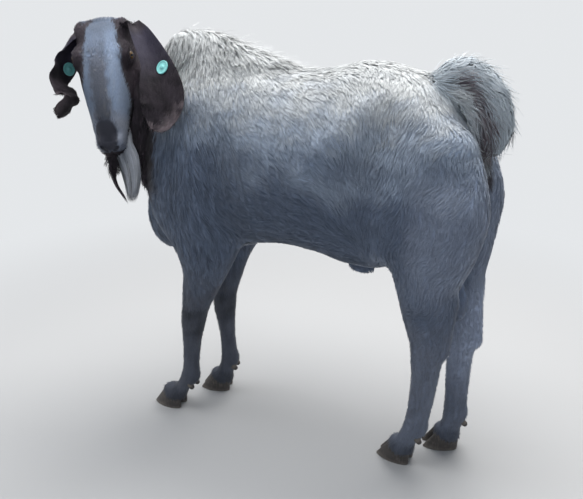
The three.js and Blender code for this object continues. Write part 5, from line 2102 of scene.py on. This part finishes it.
@dataclass
class Studio:
    """A plain pale floor that fades into a backdrop, soft lamps and the camera, in metres and degrees.

    Attributes:
        far: half the width of the floor.
        fade: from where to where the floor turns into the backdrop.
        aim: what the lamps are turned to.
        eye: the camera's place.
        azimuth: its turn about the upright.
        down: how far it looks down.
        width_angle: the angle that its picture spans.
        clip: the nearest and the farthest that it sees.
        floor: how bright the floor is.
        backdrop: its colour.
        sky: the colour of the light from all round.
        sky_strength: its strength.
    """

    far: float = 9.0
    fade: tuple[float, float] = (0.75, 1.7)
    aim: Triple = (0.0, 0.0, 0.5)
    eye: Triple = (0.549, -1.119, 0.970)
    azimuth: float = 25.0
    down: float = 22.42
    width_angle: float = 49.73
    clip: tuple[float, float] = (0.05, 60.0)
    floor: float = 0.52
    backdrop: Triple = (0.78, 0.80, 0.82)
    sky: Triple = (0.78, 0.87, 1.0)
    sky_strength: float = 0.20

    def build(self) -> None:
        """Makes the floor, the world, the lamps and the camera."""
        self.lay_floor()
        self.make_world()
        for lamp in LAMPS:
            self.hang(*lamp)
        self.stand_camera()
        bpy.context.scene.view_settings.view_transform = "Standard"

    def lay_floor(self) -> None:
        """A wide floor that fades into the backdrop's colour with the distance from the middle."""
        n = Nodes(bpy.data.materials.new("studio floor"))
        at = n.node("ShaderNodeTexCoord", {}, {})
        far = n.node("ShaderNodeVectorMath", {"operation": "LENGTH"}, {0: at.outputs["Object"]})
        glow = n.node("ShaderNodeEmission", {}, {"Color": rgba(self.backdrop), "Strength": 1.0})
        n.overlaid(Value(n, far.outputs["Value"]).step(*self.fade) * n.in_view(), glow, "Material Output")
        material = n.shade(Base_Color=rgba([self.floor] * 3), Roughness=0.9, Specular_IOR_Level=0.1)
        u = np.linspace(-self.far, self.far, 3) * 1000
        grid = np.stack(np.meshgrid(u, u, indexing="ij") + [np.zeros((3, 3))], -1).reshape(-1, 3)
        faces = np.array([[k, k + 3, k + 4, k + 1] for k in (0, 1, 3, 4)])
        floor = Shell(grid + ORIGIN, faces).build("studio_floor", material)

    def make_world(self) -> None:
        """A faint cool light from all round, and the pale backdrop where it is seen."""
        world = bpy.data.worlds.new("studio")
        bpy.context.scene.world = world
        n = Nodes(world, "Background")
        n.shade(Color=rgba(self.sky), Strength=self.sky_strength)
        white = n.node("ShaderNodeBackground", {}, {"Color": rgba(self.backdrop), "Strength": 1.0})
        n.overlaid(n.in_view(), white, "World Output")

    def hang(self, name: str, at: Sequence[float], size: float, power: float, tone: Sequence[float]) -> None:
        """Hangs a round lamp at a place, turned towards the goat."""
        lamp = bpy.data.lights.new(name, "AREA")
        lamp.shape, lamp.size, lamp.energy, lamp.color = "DISK", size, power, tone
        x, y, z = np.subtract(self.aim, at)
        tilt = math.atan2(math.hypot(x, y), -z)
        self.stand(name, lamp, at, (tilt, 0, math.atan2(x, -y) + math.pi))

    def stand_camera(self) -> None:
        """Stands the camera where the goat is seen from."""
        camera = bpy.data.cameras.new("camera")
        camera.sensor_fit = "HORIZONTAL"
        camera.angle = math.radians(self.width_angle)
        camera.clip_start, camera.clip_end = self.clip
        turned_by = (math.radians(90 - self.down), 0, math.radians(self.azimuth))
        bpy.context.scene.camera = self.stand("camera", camera, self.eye, turned_by)

    def stand(self, name: str, what: bpy.types.ID, at: Sequence[float], turned_by: Sequence[float]) -> Object:
        """Puts a lamp or a camera in the scene, and gives its object."""
        obj = bpy.data.objects.new(name, what)
        obj.location, obj.rotation_euler = at, turned_by
        bpy.context.collection.objects.link(obj)
        return obj


# ---- the goat
DENSITY, QUICK_DENSITY = 0.97, 0.35        # of the fleece, in a full and in a quick build
# painted light: the skin's tint is raised to offset the shade between the tufts over it
UNDER_COAT = 1.06                          # how bright the skin is beside the tufts over it


@dataclass
class Goat:
    """The whole goat: it makes its parts in order, dresses them and hangs them on the frame's one body."""

    flesh: Flesh = field(default_factory=Flesh)

    def add(self, obj: Object, slot: str, *nodes: str) -> Object:
        """Hangs a piece on the body, and lets it stand for nodes of the frame."""
        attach(obj, "root")
        if nodes:
            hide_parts(*nodes)
        LOG.info("%s: %d faces", obj.name, len(obj.data.polygons))
        return obj

    def build(self) -> None:
        """Makes every piece."""
        hair = HairFinish("hair").material()
        dark = HairFinish("dark hair", 0.6, 0.0, 0.12).material()
        self.dress(hair, dark)
        self.shoe()
        glass, plastic = EyeFinish().material(), TagFinish().material()
        for side, word in ((1, "left"), (-1, "right")):
            self.add(Eye(side).shell().build(f"eyeball_{word}", glass), "eye", f"eye_{word}")
        for ear in EARS:
            word = ear.name.split("_")[1]
            self.add(Tag(ear).shell().build(f"disc_{word}", plastic), "tag_plastic", f"tag_{word}")

    def dress(self, hair: Material, dark: Material) -> None:
        """Makes the skin and all that grows on it."""
        marks = Markings(self.flesh)
        skin = Skin(self.flesh).united()
        skin.values["bare"] = marks.bare(skin.points)[:, None]
        tint = marks.tint(skin.points) * UNDER_COAT
        for ear, mine in ears_of(skin.points, skin.values["ear"][:, 0] > 0.5):
            along, across, deep, _, _ = ear.view(skin.points[mine])
            tint[mine] = ear_tint(ear, skin.points[mine], along, across, deep)
        skin.values["tint"] = tint
        self.add(skin.build("skin", SkinFinish().material()), "coat_white", "trunk", "neck", "head", "tail",
                 "scrotum", "sheath", "ear_left", "ear_right", *(f"leg_{leg}" for leg in LEGS))
        finishes = {region: dark if region in DARK_REGIONS else hair for region in Region}
        fleece = Fleece(self.flesh, marks, DENSITY)
        for obj, region in fleece.grow(skin, finishes):
            self.add(obj, "coat_dark" if region in DARK_REGIONS else "coat_white")
        beard = Beard().blades().shell(np.random.default_rng(SEED + 9))
        self.add(beard.build("beard_locks", hair), "coat_white", "beard")
        wisp = Beard(WISP, CHOCOLATE, 70, 1.3, (0.0, 0.0)).blades().shell(np.random.default_rng(SEED + 10))
        self.add(wisp.build("coat_wisp", dark), "coat_dark")

    def shoe(self) -> None:
        """Makes the claws and dewclaws of all four feet."""
        horn = HornFinish().material()
        for leg in LEGS:
            foot = Hoof(leg)
            outer = -1 if leg.endswith("left") else 1
            for side, word in ((outer, "outer"), (-outer, "inner")):
                claw = foot.claw(side).build(f"claw_{leg}_{word}", horn)
                self.add(claw, "hoof_horn", f"hoof_{leg}_{word}")
                peg = foot.dewclaw(side).build(f"peg_{leg}_{word}", horn)
                self.add(peg, "hoof_horn", f"dewclaw_{leg}_{word}")


def main() -> None:
    """Builds the goat and its studio."""
    logging.basicConfig(level=logging.INFO, format="%(name)s: %(message)s")
    Goat().build()
    Studio().build()
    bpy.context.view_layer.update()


if __name__ == "__main__":
    main()
